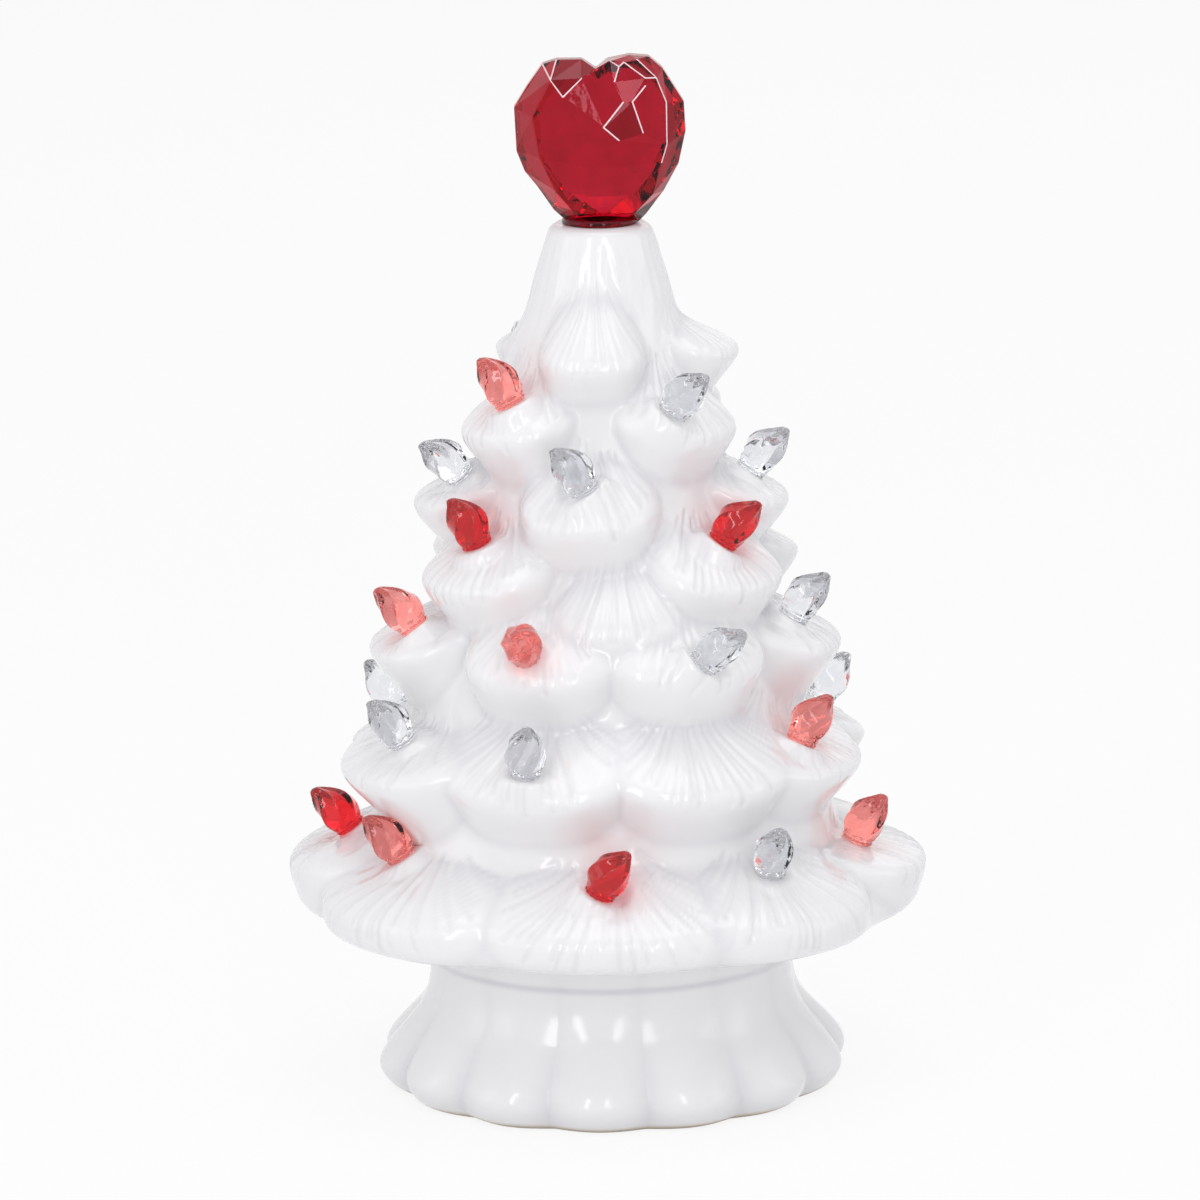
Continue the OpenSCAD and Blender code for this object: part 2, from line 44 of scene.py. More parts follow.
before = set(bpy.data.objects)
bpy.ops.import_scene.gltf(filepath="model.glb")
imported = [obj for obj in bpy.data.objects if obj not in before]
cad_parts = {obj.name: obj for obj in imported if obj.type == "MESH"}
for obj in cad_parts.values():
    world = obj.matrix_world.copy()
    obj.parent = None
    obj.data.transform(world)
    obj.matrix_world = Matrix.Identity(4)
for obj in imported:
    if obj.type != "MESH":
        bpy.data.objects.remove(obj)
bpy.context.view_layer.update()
MM = 0.001
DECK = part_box("tree_shell")[0].z / MM
TREE_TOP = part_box("tree_shell")[1].z / MM

# Radius of the core between the boughs, by height above the deck, in millimetres
CORE = np.array([[-2, 49.2], [0, 49.2], [3, 49], [5, 47.5], [8, 44], [10, 41.4], [12, 39.4],
                 [14, 38.4], [18, 37.4], [24, 36], [30, 34.6], [40, 31.4], [52.5, 27.4],
                 [74.5, 20.8], [89.5, 16.8], [98, 14.2], [102, 12.4], [107, 11.1], [111, 9.9],
                 [114, 9], [115.3, 8.5], [116, 7.4]])

# Each tier: height of its tips, side fall, rise of the lower edge, under-slope and tip
# rounding, then its boughs: direction from the front, tip radius, half-width, top slope
TIERS = [
    (94.5, 7, 1.2, 0.5, 2.6,
     [(-7, 20.8, 36, 1.1), (83, 22.6, 34, 2.4), (173, 21, 36, 1.1), (-115, 18.4, 34, 2.4)]),
    (83, 6.5, 1.5, 0.55, 3,
     [(-49, 26.7, 31, 1.6), (42, 26.2, 33, 1.5), (148, 26.5, 32, 1.6), (-150, 26.5, 32, 1.6)]),
    (69.5, 6.5, 2, 0.55, 3,
     [(-88, 31.7, 28, 2.4), (-7, 29.7, 29, 1.3), (85, 30.7, 28, 2.4), (173, 29.5, 29, 1.3)]),
    (58.5, 6.5, 2, 0.55, 3,
     [(-50, 34.5, 27, 1.7), (46, 34.2, 27, 1.6), (115, 34, 25, 2.4), (-134, 34, 27, 1.7)]),
    (52.5, 6.5, 2, 0.5, 3,
     [(5, 33, 24, 1.2), (-175, 33, 24, 1.2)]),
    (45.5, 6, 2, 0.5, 3,
     [(-80, 39.7, 24, 2.4), (-22, 38.2, 24, 1.4), (26, 38.2, 26, 1.4), (80, 39.4, 24, 2.4),
      (134, 39, 24, 2.4), (180, 38, 26, 1.4), (-134, 39, 24, 2.4)]),
    (27, 5, 2.5, 0.62, 3,
     [(-62, 47, 23, 2.4), (-20, 43.8, 24, 1.4), (25, 43.8, 24, 1.4), (62, 44.4, 23, 2.4),
      (110, 44.2, 23, 2.4), (155, 44, 24, 1.6), (-155, 44, 24, 1.6), (-110, 44, 23, 2.4)]),
    (7.5, 4, 1, 0.42, 2.6,
     [(-97, 54, 23, 2.6), (-50, 53, 24, 3.2), (0, 52.5, 24, 3.2), (39, 52.5, 22, 3.2),
      (86, 53, 19, 4), (136, 53, 24, 3.2), (177, 53, 24, 3.2), (-138, 53, 24, 3.2)]),
]

# The glazed shell's own tiers: rims more undercut, front skirt boughs that droop
UNDERCUT = 0.42
SHELL_TIERS = [(tip, fall, rise, under + UNDERCUT, rounding, boughs)
               for tip, fall, rise, under, rounding, boughs in TIERS[:-1]] + [
    (7.5, 4, 1, 0.42, 2.6, [bough for bough in TIERS[-1][5] if bough[0] not in (-50, 0, 39)]),
    (4.4, 4, 0.8, 0.42, 3.2, [(-50, 53, 24, 2.1), (0, 52.8, 24, 2.0), (39, 52.8, 22, 2.0)]),
]

# Each bulb: direction of its seat, height of the seat above the deck, heading and
# elevation of its axis, and colour
BULBS = [
    (-44, 88.7, -82, 65, "pink"), (29.5, 87.5, 64, 55, "clear"), (152, 87, 152, 62, "red"),
    (-150, 88, -150, 62, "clear"), (-77.5, 74.9, -67, 47, "clear"), (-7, 75.8, -70, 60, "clear"),
    (84.5, 74.4, 92, 56, "clear"), (173, 75.5, 173, 55, "pink"), (-50.5, 65.5, -72, 68, "red"),
    (44.5, 65.6, 89, 55, "red"), (123, 64.5, 123, 60, "clear"), (-142, 65, -142, 58, "pink"),
    (-70.5, 50.4, -101, 52, "pink"), (-22, 50.2, -12, 40, "pink"), (24.5, 48.3, 79, 46, "clear"),
    (74, 50.9, 86, 59, "clear"), (140, 50, 140, 58, "red"), (180, 49, 180, 50, "clear"),
    (-140, 50, -140, 58, "red"), (-61.5, 32.7, -72, 60, "clear"), (-19.5, 31.3, 11, 80, "clear"),
    (57.5, 32, 103, 64, "pink"), (116, 30.8, 114, 62, "clear"), (155, 32, 155, 55, "red"),
    (-155, 32, -155, 55, "pink"), (-116, 30.8, -114, 62, "clear"), (-90.5, 13.9, -85, 55, "red"),
    (-57.5, 14, -86, 57, "pink"), (-2.5, 12.4, 64, 63, "red"), (38.5, 12.9, 29, 72, "clear"),
    (79.5, 12.2, 78, 67, "pink"), (136, 14.5, 136, 56, "red"), (177, 14.5, 177, 56, "clear"),
    (-138, 14.5, -138, 56, "pink"),
]
# Rounding of the lower edge, melt of the boughs that the seats are worked out with, and the
# bulbs' radius, length over the collar and collar height, in millimetres
LIP = 3.0
BLEND = 1.2
BULB_R = 3.5
BULB_LEN = 8.4
COLLAR = 0.8

# Hollows of the shell: the heart's hole, the ceramic under the flat top and over the deck,
# the wall round the hollow, the ring's recess and how far it is chamfered
HEART_HOLE_R = 3.5
ROOF_T = 5
FLOOR_T = 3
WALL = 2.8
RING_HOLE_R = 25.6
CHAMFER = 0.3

# Needles: length over a bough, run past its rim, run past the skirt's rim, in millimetres
NEEDLE_LENGTH = 16
PAST_RIM = 2.4
PAST_SKIRT = 6.0

BARE_CLAY = "#D9CDBD"


# --- small tools ---------------------------------------------------------------------
def linear(code):
    """A colour socket's value from an sRGB hex code."""
    channels = [int(code[i:i + 2], 16) / 255 for i in (1, 3, 5)]
    return [c / 12.92 if c <= 0.04045 else ((c + 0.055) / 1.055) ** 2.4 for c in channels] + [1.0]


def darker(code, share):
    """The same value with its channels taken down to a share of them."""
    return [channel * share for channel in linear(code)[:3]] + [1.0]


def turned_ring(turn, radius, height):
    """A ring about +Z from turns in radians."""
    return np.stack([radius * np.cos(turn), radius * np.sin(turn), height + 0 * turn], -1)


def add_node(tree, kind, links=None, inputs=None, **settings):
    """One shader node: its settings, its own values, and links from other nodes' sockets."""
    node = tree.nodes.new(kind)
    for key, value in settings.items():
        setattr(node, key, value)
    for key, value in (inputs or {}).items():
        node.inputs[key].default_value = value
    for key, source in (links or {}).items():
        tree.links.new(source, node.inputs[key])
    return node


def new_material(name):
    """An empty node material and its output node."""
    material = bpy.data.materials.get(name) or bpy.data.materials.new(name)
    material.use_nodes = True
    material.node_tree.nodes.clear()
    return material, material.node_tree, add_node(material.node_tree, "ShaderNodeOutputMaterial")


def at(direction, radius, height):
    """Points in metres, from degrees from the front and from radii and heights in millimetres."""
    turn = np.radians(direction)
    return np.stack([radius * np.sin(turn), -radius * np.cos(turn), height + 0 * turn], -1) * MM


def grid_faces(rows, columns, closed_rows=False):
    """Quads over a grid of points that closes round its columns."""
    r = np.arange(rows if closed_rows else rows - 1)[:, None]
    c = np.arange(columns)[None, :]
    up, side = (r + 1) % rows, (c + 1) % columns
    corners = [r * columns + c, r * columns + side, up * columns + side, up * columns + c]
    return np.stack(corners, -1).reshape(-1, 4)


def end_caps(rows, columns):
    """Two faces that close the first and the last ring of a grid."""
    return [tuple(range(columns - 1, -1, -1)), tuple(range((rows - 1) * columns, rows * columns))]


def mesh_object(name, points, faces, smooth=True):
    """A mesh object from points in metres and faces."""
    mesh = bpy.data.meshes.new(name)
    corners = np.asarray(points).reshape(-1, 3).tolist()
    mesh.from_pydata(corners, [], [list(map(int, face)) for face in faces])
    mesh.validate()
    mesh.polygons.foreach_set("use_smooth", [smooth] * len(mesh.polygons))
    mesh.update()
    piece = bpy.data.objects.new(name, mesh)
    bpy.context.scene.collection.objects.link(piece)
    return piece


def finish_piece(piece, material, body, slot, *nodes):
    """Gives a piece its body and, unless it has materials already, its material, and hides the CAD
    nodes that it stands for. Its slot is not used."""
    if material is not None:
        piece.data.materials.clear()
        piece.data.materials.append(material)
    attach(piece, body)
    if nodes:
        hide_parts(*nodes)
    return piece


def point_values(piece, name, values):
    """Stores one number a vertex."""
    attribute = piece.data.attributes.new(name, "FLOAT", "POINT")
    attribute.data.foreach_set("value", np.asarray(values, np.float32).ravel())


def step(low, high, x):
    """Smooth step from 0 to 1."""
    t = np.clip((x - low) / (high - low), 0, 1)
    return t * t * (3 - 2 * t)


# --- shape of the tree ---------------------------------------------------------------
def softened(profile, fine, reach, spread):
    """A profile's values at fine, even steps, sharp and with its bends rounded over the spread."""
    raw = np.interp(fine, profile[:, 0], profile[:, 1])
    kernel = np.exp(-0.5 * (np.arange(-reach, reach + 1) / spread) ** 2)
    return raw, np.convolve(np.pad(raw, reach, "edge"), kernel / kernel.sum(), "valid")


def core_radius(height):
    """The core's radius, with its bends softened below the sharp rim of the top."""
    fine = np.arange(-4, 118, 0.1)
    raw, soft = softened(CORE, fine, 30, 8)
    keep = step(112.5, 114.5, fine)
    return np.interp(height, fine, soft * (1 - keep) + raw * keep)


def eave(height, top, under, rounding):
    """How far a bough falls back from its tip at a height over the tip."""
    mean, half = (top - under) / 2, (top + under) / 2
    q = math.sqrt(1 - (mean / half) ** 2)
    d = height - mean / half * rounding / (half * q)
    return mean * d + np.sqrt((half * d) ** 2 + rounding ** 2) - rounding * q


def turn_between(a, b):
    """Difference of two directions, from -180 to 180 degrees."""
    return (a - b + 540) % 360 - 180


def side_fall(u):
    """How far a bough has fallen back at u half-widths from its middle: little, then steeply."""
    uu = np.minimum(u ** 2, 9)
    return 0.35 * uu + 0.65 * uu ** 2


def bough_layers(direction, height, tiers=TIERS):
    """Radius of the core and of each bough at directions and heights."""
    layers = [core_radius(height) + 0 * direction]
    for tip, fall, rise, under, rounding, boughs in tiers:
        for toward, reach, half, slope in boughs:
            side = side_fall(turn_between(direction, toward) / half)
            drop = eave(height - tip - rise * side, slope, under, rounding)
            layers.append(reach - fall * side - drop)
    return np.array(layers)


def melt(layers, sharpness):
    """Smooth maximum of the layers, and each layer's share in it."""
    most = layers.max(0)
    weights = np.exp((layers - most) / sharpness)
    total = weights.sum(0)
    return most + sharpness * np.log(total), weights / total


def lip_in(height):
    """How far the rounded lower edge draws in."""
    return LIP - np.sqrt(LIP ** 2 - (LIP - np.clip(height, 0, LIP)) ** 2)


def seat(direction, height, heading, elevation):
    """A bulb's seat and its axis: matrix with +Z along the bulb, +X downhill."""
    direction, height = float(direction), float(height)
    radius = melt(bough_layers(np.array([direction]), np.array([height])), BLEND)[0][0]
    origin = Vector(at(np.array(direction), radius - lip_in(height), DECK + height).tolist())
    turn, lift = math.radians(heading), math.radians(elevation)
    east, north = math.sin(turn), -math.cos(turn)
    axis = Vector((east * math.cos(lift), north * math.cos(lift), math.sin(lift)))
    out = Vector((east * math.sin(lift), north * math.sin(lift), -math.cos(lift)))
    across = axis.cross(out)
    return Matrix((out, across, axis)).transposed().to_4x4(), origin


def bulb_name(i):
    """The CAD node of a bulb."""
    return f"bulb_{BULBS[i][4]}_{i + 1}"


# --- materials -----------------------------------------------------------------------
def glaze_material(settings):
    """White earthenware glaze, dipped and fired: a glassy skin, with painted shade grey in its creases,
    needles and flutes and a painted pink glow of the coloured bulbs.
    Its colours drift a little, and the foot that was wiped before firing shows dull bare clay."""
    material, tree, out = new_material("White tin glaze, dipped and fired")
    place = add_node(tree, "ShaderNodeTexCoord").outputs["Object"]
    painted_shade = add_node(tree, "ShaderNodeAttribute", attribute_name="painted_shade").outputs["Fac"]
    painted_bulb_glow = add_node(tree, "ShaderNodeAttribute", attribute_name="painted_bulb_glow").outputs["Fac"]
    bare = add_node(tree, "ShaderNodeAttribute", attribute_name="bare").outputs["Fac"]
    # glaze thickness drifts over about 12 mm
    drift = add_node(tree, "ShaderNodeTexNoise", {"Vector": place}, {"Scale": 80.0, "Detail": 3.0})
    # fine pinholes and ripples about 2.4 mm apart
    ripple = add_node(tree, "ShaderNodeTexNoise", {"Vector": place}, {"Scale": 420.0, "Detail": 2.0})
    body = add_node(tree, "ShaderNodeMix", {"Factor": drift.outputs["Fac"]}, data_type="RGBA")
    body.inputs["A"].default_value = linear(settings.glaze_thick)
    body.inputs["B"].default_value = linear(settings.glaze_thin)
    # painted shade: grey painted into creases, needles and flute valleys
    hollow = add_node(tree, "ShaderNodeMix", {"Factor": painted_shade, "A": body.outputs["Result"]},
                      data_type="RGBA")
    hollow.inputs["B"].default_value = linear(settings.painted_crease_shade)
    # painted light: pink glow of the coloured bulbs painted onto the glaze
    warm = add_node(tree, "ShaderNodeMix", {"Factor": painted_bulb_glow, "A": hollow.outputs["Result"]},
                    data_type="RGBA")
    warm.inputs["B"].default_value = linear(settings.painted_bulb_glow)
    clay = add_node(tree, "ShaderNodeMix", {"Factor": bare, "A": warm.outputs["Result"]},
                    data_type="RGBA")
    clay.inputs["B"].default_value = linear(BARE_CLAY)
    rough = add_node(tree, "ShaderNodeMapRange", {"Value": drift.outputs["Fac"]},
                     {"From Min": 0.3, "From Max": 0.7, "To Min": 0.09, "To Max": 0.17})
    dull = add_node(tree, "ShaderNodeMix", {"Factor": bare, "A": rough.outputs["Result"]}, {"B": 0.75})
    bump = add_node(tree, "ShaderNodeBump", {"Height": ripple.outputs["Fac"]},
                    {"Strength": 0.25, "Distance": 0.00012})
    shader = add_node(tree, "ShaderNodeBsdfPrincipled",
                      {"Base Color": clay.outputs["Result"], "Roughness": dull.outputs["Result"],
                       "Normal": bump.outputs["Normal"]}, {"IOR": 1.5})
    tree.links.new(shader.outputs["BSDF"], out.inputs["Surface"])
    return material


def clear_plastic(name, tint, streak_and_shade_tint, depth_tint, density, ior, roughness, gleam="#FFFFFF"):
    """Cast or moulded clear plastic: it shows what is behind it through a tint that has deeper streaks
    and grows with the thickness. Faces marked deep take the deeper tint, as painted shade."""
    material, tree, out = new_material(name)
    place = add_node(tree, "ShaderNodeTexCoord").outputs["Object"]
    # flow marks from the mould, about 3 mm apart
    flow = add_node(tree, "ShaderNodeTexNoise", {"Vector": place}, {"Scale": 350.0, "Detail": 2.0})
    polish = add_node(tree, "ShaderNodeMapRange", {"Value": flow.outputs["Fac"]},
                      {"From Min": 0.3, "From Max": 0.7,
                       "To Min": roughness * 0.6, "To Max": roughness * 1.4})
    bump = add_node(tree, "ShaderNodeBump", {"Height": flow.outputs["Fac"]},
                    {"Strength": 0.2, "Distance": 0.00008})
    # painted shade: faces marked deep, the heart's facets turned from the light, take the deeper tint
    deep = add_node(tree, "ShaderNodeAttribute", attribute_name="deep").outputs["Fac"]
    # cloudy streaks about 4 mm across
    streak = add_node(tree, "ShaderNodeTexNoise", {"Vector": place}, {"Scale": 240.0, "Detail": 3.0})
    cloud = add_node(tree, "ShaderNodeMapRange", {"Value": streak.outputs["Fac"]},
                     {"From Min": 0.45, "From Max": 0.75, "To Max": 0.45})
    both = add_node(tree, "ShaderNodeMath", {0: deep, 1: cloud.outputs["Result"]},
                    operation="MAXIMUM")
    body = add_node(tree, "ShaderNodeMix", {"Factor": both.outputs["Value"]}, data_type="RGBA")
    body.inputs["A"].default_value = linear(tint)
    body.inputs["B"].default_value = linear(streak_and_shade_tint)
    shader = add_node(tree, "ShaderNodeBsdfPrincipled",
                      {"Base Color": body.outputs["Result"], "Roughness": polish.outputs["Result"],
                       "Normal": bump.outputs["Normal"]},
                      {"IOR": ior, "Transmission Weight": 1.0, "Specular Tint": linear(gleam)})
    inside = add_node(tree, "ShaderNodeVolumeAbsorption",
                      inputs={"Color": linear(depth_tint), "Density": density})
    tree.links.new(shader.outputs["BSDF"], out.inputs["Surface"])
    tree.links.new(inside.outputs["Volume"], out.inputs["Volume"])
    return material


def glint_painted_acrylic(settings):
    """Acrylic edges painted white to pink as glints, a painted highlight, rough and with a fine mottle like
    scratches in worn polish.
    """
    material, tree, out = new_material("Crimson acrylic, worn edges")
    place = add_node(tree, "ShaderNodeTexCoord").outputs["Object"]
    # mottle of the painted glint about 0.3 mm apart
    glint_mottle = add_node(tree, "ShaderNodeTexNoise", {"Vector": place}, {"Scale": 3000.0, "Detail": 2.0})
    shade = add_node(tree, "ShaderNodeMix", {"Factor": glint_mottle.outputs["Fac"]}, data_type="RGBA")
    shade.inputs["A"].default_value = linear("#FFFFFF")
    shade.inputs["B"].default_value = linear(settings.worn_glint)
    shader = add_node(tree, "ShaderNodeBsdfPrincipled", {"Base Color": shade.outputs["Result"]},
                      {"Roughness": 0.35, "IOR": 1.49})
    tree.links.new(shader.outputs["BSDF"], out.inputs["Surface"])
    return material


def moulded_plastic(name, colour, roughness, grain_mm=0.6):
    """Moulded plastic: an even colour under the fine grain of a spark-eroded mould."""
    material, tree, out = new_material(name)
    place = add_node(tree, "ShaderNodeTexCoord").outputs["Object"]
    grain = add_node(tree, "ShaderNodeTexNoise", {"Vector": place},
                     {"Scale": 1 / (grain_mm * MM), "Detail": 2.0})
    # the colour drifts over about 11 mm, where the melt cooled
    cloud = add_node(tree, "ShaderNodeTexNoise", {"Vector": place}, {"Scale": 90.0})
    shade = add_node(tree, "ShaderNodeMix", {"Factor": cloud.outputs["Fac"]}, data_type="RGBA")
    shade.inputs["A"].default_value = linear(colour)
    shade.inputs["B"].default_value = darker(colour, 0.86)
    rough = add_node(tree, "ShaderNodeMapRange", {"Value": grain.outputs["Fac"]},
                     {"To Min": roughness * 0.8, "To Max": roughness * 1.2})
    bump = add_node(tree, "ShaderNodeBump", {"Height": grain.outputs["Fac"]},
                    {"Strength": 0.4, "Distance": 0.00006})
    shader = add_node(tree, "ShaderNodeBsdfPrincipled",
                      {"Base Color": shade.outputs["Result"], "Roughness": rough.outputs["Result"],
                       "Normal": bump.outputs["Normal"]}, {"IOR": 1.5})
    tree.links.new(shader.outputs["BSDF"], out.inputs["Surface"])
    return material


def plated_metal(name, colour, roughness, line_mm=0.25):
    """Rolled and plated metal: fine lines along the sheet and a soft lustre."""
    material, tree, out = new_material(name)
    place = add_node(tree, "ShaderNodeTexCoord").outputs["Object"]
    stretch = add_node(tree, "ShaderNodeMapping", {"Vector": place}, {"Scale": (1.0, 1.0, 0.08)})
    lines = add_node(tree, "ShaderNodeTexNoise", {"Vector": stretch.outputs["Vector"]},
                     {"Scale": 1 / (line_mm * MM), "Detail": 2.0})
    shade = add_node(tree, "ShaderNodeMix", {"Factor": lines.outputs["Fac"]}, data_type="RGBA")
    shade.inputs["A"].default_value = linear(colour)
    shade.inputs["B"].default_value = darker(colour, 0.8)
    rough = add_node(tree, "ShaderNodeMapRange", {"Value": lines.outputs["Fac"]},
                     {"To Min": roughness * 0.7, "To Max": roughness * 1.3})
    shader = add_node(tree, "ShaderNodeBsdfPrincipled",
                      {"Base Color": shade.outputs["Result"], "Roughness": rough.outputs["Result"]},
                      {"Metallic": 1.0})
    tree.links.new(shader.outputs["BSDF"], out.inputs["Surface"])
    return material


# --- settings ------------------------------------------------------------------------
def size(name, description, default, low, high):
    """A length in metres that a user may change."""
    return bpy.props.FloatProperty(name=name, description=description, default=default, min=low,
                                   max=high, unit="LENGTH", subtype="DISTANCE", precision=4)


def power(name, description, default):
    """A lamp's power in watts."""
    return bpy.props.FloatProperty(name=name, description=description, default=default, min=0.0,
                                   unit="POWER")


def count(name, description, default, low, high):
    """A whole number."""
    return bpy.props.IntProperty(name=name, description=description, default=default, min=low, max=high)


def colour(name, description, default):
    """A colour as its hex code."""
    return bpy.props.StringProperty(name=name, description=description + ", as an sRGB hex code",
                                    default=default)


class TreeSettings(bpy.types.PropertyGroup):
    """Sizes and colours of the glazed shell and base."""
    columns: count("Columns", "Points round the shell", 720, 90, 2000)
    row_height: size("Row height", "Height of one row of the shell's mesh", 0.00048, 0.0002, 0.004)
    needle_depth: size("Needle depth", "Depth of the carved needles", 0.00032, 0.0, 0.001)
    needle_width: size("Needle width", "Width of a carved needle at a bough's rim", 0.0015, 0.0008, 0.004)
    crease: size("Crease", "Radius over which neighbouring boughs melt together", 0.0012, 0.0002, 0.003)
    flutes: count("Flutes", "Flutes round the base", 14, 6, 40)
    flute_depth: size("Flute depth", "Depth of the flutes at the foot", 0.0018, 0.0, 0.004)
    glaze_thick: colour("Thick glaze", "Where the glaze lies thick", "#EFEEEF")
    glaze_thin: colour("Thin glaze", "Where the glaze lies thin", "#F3F2F2")
    # painted shade: the grey painted into creases, needles and flute valleys
    painted_crease_shade: colour("Pooled glaze", "Glaze pooled in creases and needles", "#CFCED4")
    # painted light: the pink glow of the coloured bulbs painted onto the glaze
    painted_bulb_glow: colour("Blush", "Glow of the coloured bulbs on the glaze", "#F3B9BC")


class BulbSettings(bpy.types.PropertyGroup):
    """Sizes and colours of the bulbs."""
    lobes: count("Lobes", "Twisted lobes round a bulb", 6, 3, 16)
    twist: bpy.props.FloatProperty(name="Twist", description="Turn of the lobes from collar to tip",
                                   default=math.radians(80), subtype="ANGLE")
    lobe_depth: size("Lobe depth", "Depth of the grooves between the lobes", 0.0004, 0.0, 0.001)
    clear: colour("Clear", "Clear bulbs", "#F4F5F8")
    pink: colour("Pink", "Pink bulbs", "#FFA39C")
    red: colour("Red", "Red bulbs", "#F01E2C")


class HeartSettings(bpy.types.PropertyGroup):
    """Sizes and colour of the heart."""
    edge: size("Edge", "Width of the polished edges between facets", 0.00012, 0.00002, 0.001)
    acrylic: colour("Acrylic", "The heart's acrylic", "#B41234")
    # the deeper tint serves the cloudy streaks and the heart's facets of painted shade
    acrylic_streak_and_shade: colour("Deep acrylic", "Streaks of deeper colour in the heart", "#780A18")
    # painted highlight: the pink of the heart's edges painted as glints
    worn_glint: colour("Worn edges", "Edges of the heart that scatter the light", "#E8A4AE")


class StageSettings(bpy.types.PropertyGroup):
    """Floor, lamps and camera."""
    floor_size: size("Floor", "Radius of the floor", 3.0, 0.5, 20.0)
    floor: colour("Floor colour", "The floor", "#F6F6F6")
    key: power("Key", "Power of the two strips in front", 4.7)
    top: power("Top", "Power of the softbox overhead", 3.6)
    fill: power("Fill", "Power of each side and back panel", 0.9)
    sky: bpy.props.FloatProperty(name="Sky", description="Strength of the light from all round",
                                 default=0.6, min=0.0)
    surround: colour("Surround", "Light from all round", "#F7F8FC")


# --- the pieces ----------------------------------------------------------------------
class TREE_OT_shell(bpy.types.Operator):
    """Glazed tree shell with its boughs, carved needles, bulb seats and hollow"""
    bl_idname = "tree.shell"
    bl_label = "Tree shell"

    # Needles fan out from a point this far above the bough, from this far below that point
    FAN_ABOVE = 10
    FAN_START = 8
    # Distance from that point at which a bough is as wide as its fan
    FAN_REACH = 24
    # Room round a bough in which needles are looked for: below and above its tip, in
    # millimetres, and to its sides, in half-widths
    BELOW_TIP, OVER_TIP, BESIDE = 3, 17, 1.25

    def strokes(self, rng, across, along, spread, width, over):
        """Depth, 0 to 1, of needles that fan out from a point above a bough and run over its rim."""
        pivot = NEEDLE_LENGTH + self.FAN_ABOVE
        angle, reach = np.arctan2(across, pivot - along), np.hypot(across, pivot - along)
        step_angle = width / pivot
        depth = np.zeros_like(across)
        for centre in np.arange(-spread, spread, step_angle):
            centre += rng.normal(0, 0.24) * step_angle
            start = self.FAN_START + rng.uniform(0, NEEDLE_LENGTH * 0.5)
            end = pivot + rng.uniform(-2.2, over)
            deep, half = rng.uniform(0.3, 1), width * rng.uniform(0.32, 0.5)
            bend = rng.normal(0, 0.09)
            off = (angle - centre - bend * ((reach - pivot) / pivot) ** 2) * reach
            past = np.maximum(np.maximum(start - reach, reach - end), 0)
            depth = np.maximum(depth, deep * (1 - (off / half) ** 2 - (past / half) ** 2))
        return depth

    def carve(self, direction, height, radius, shares, arc, settings):
        """Depth of the carved needles over the whole grid, in millimetres."""
        rng = np.random.default_rng(7)
        width, deep = settings.needle_width / MM, settings.needle_depth / MM
        depth = np.zeros_like(radius)
        layer = 1
        for tip, _, rise, _, _, boughs in SHELL_TIERS:
            over = PAST_SKIRT if tip < 10 else PAST_RIM
            # the top boughs are carved more lightly
            weight = 0.65 if tip > 90 else 1
            for toward, reach, half, _ in boughs:
                turn = turn_between(direction, toward)
                near = ((np.abs(turn) < half * self.BESIDE) & (height > tip - self.BELOW_TIP)
                        & (height < tip + self.OVER_TIP))
                columns = np.nonzero(near)[1]
                aside = np.abs(turn[near])
                rim = np.interp(tip + rise * side_fall(turn[near] / half), height[:, 0],
                                np.arange(len(height)))
                low = np.clip(rim.astype(int), 0, len(height) - 2)
                arc_rim = arc[low, columns] * (1 - rim + low) + arc[low + 1, columns] * (rim - low)
                across = np.radians(turn[near]) * reach
                spread = math.radians(half * 1.15) * reach / self.FAN_REACH
                carved = self.strokes(rng, across, arc[near] - arc_rim, spread, width, over)
                core_share = shares[0][near] * step(half * self.BESIDE, half * 0.9, aside)
                share = np.clip(shares[layer][near] + core_share, 0, 1)
                depth[near] = np.maximum(depth[near], carved * share * weight)
                layer += 1
        # long upright strokes round the bare top of the trunk
        for toward in np.arange(0, 360, 10.5):
            across = np.radians(turn_between(direction, toward + rng.uniform(-2, 2))) * radius
            start, end = 100 + rng.uniform(-4, 6), 113.5 + rng.uniform(-4, 0)
            past = np.maximum(np.maximum(start - height, height - end), 0)
            carved = rng.uniform(0.0, 0.4) * (1 - (across / 0.95) ** 2 - (past / 2.5) ** 2)
            depth = np.maximum(depth, carved * shares[0])
        return depth * deep

    def grid(self, settings):
        """Directions and heights of the shell's points, with rows crowded together round the lip."""
        tall = TREE_TOP - DECK
        rows = int(tall / (settings.row_height / MM))
        height = np.linspace(0, tall, rows)[:, None] + np.zeros((1, settings.columns))
        height = np.where(height < 4, height ** 1.4 / 4 ** 0.4, height)
        direction = np.linspace(0, 360, settings.columns, endpoint=False)[None, :] + 0 * height
        return direction, height

    def surface(self, settings):
        """Points of the outside, and how much painted shade lies grey in the creases and needles at each.
        """
        direction, height = self.grid(settings)
        tall = TREE_TOP - DECK
        radius, shares = melt(bough_layers(direction, height, SHELL_TIERS), settings.crease / MM)
        rise = np.diff(height, axis=0)
        arc = np.vstack([0 * height[:1], np.cumsum(np.hypot(rise, np.diff(radius, axis=0)), 0)])
        slope = np.gradient(radius, axis=0) / np.gradient(height, axis=0)
        carved = self.carve(direction, height, radius, shares, arc, settings)
        # hands leave the surface a little uneven
        turn = np.radians(direction)
        uneven = (0.10 * np.sin(5 * turn + height * 0.13) * np.sin(height * 0.21 + 1)
                  + 0.07 * np.sin(11 * turn - height * 0.3) * np.sin(height * 0.4))
        fade = step(0, 3, height) * step(tall, tall - 4, height)
        radius = radius - carved * np.sqrt(1 + np.minimum(slope ** 2, 5)) * fade + uneven * fade
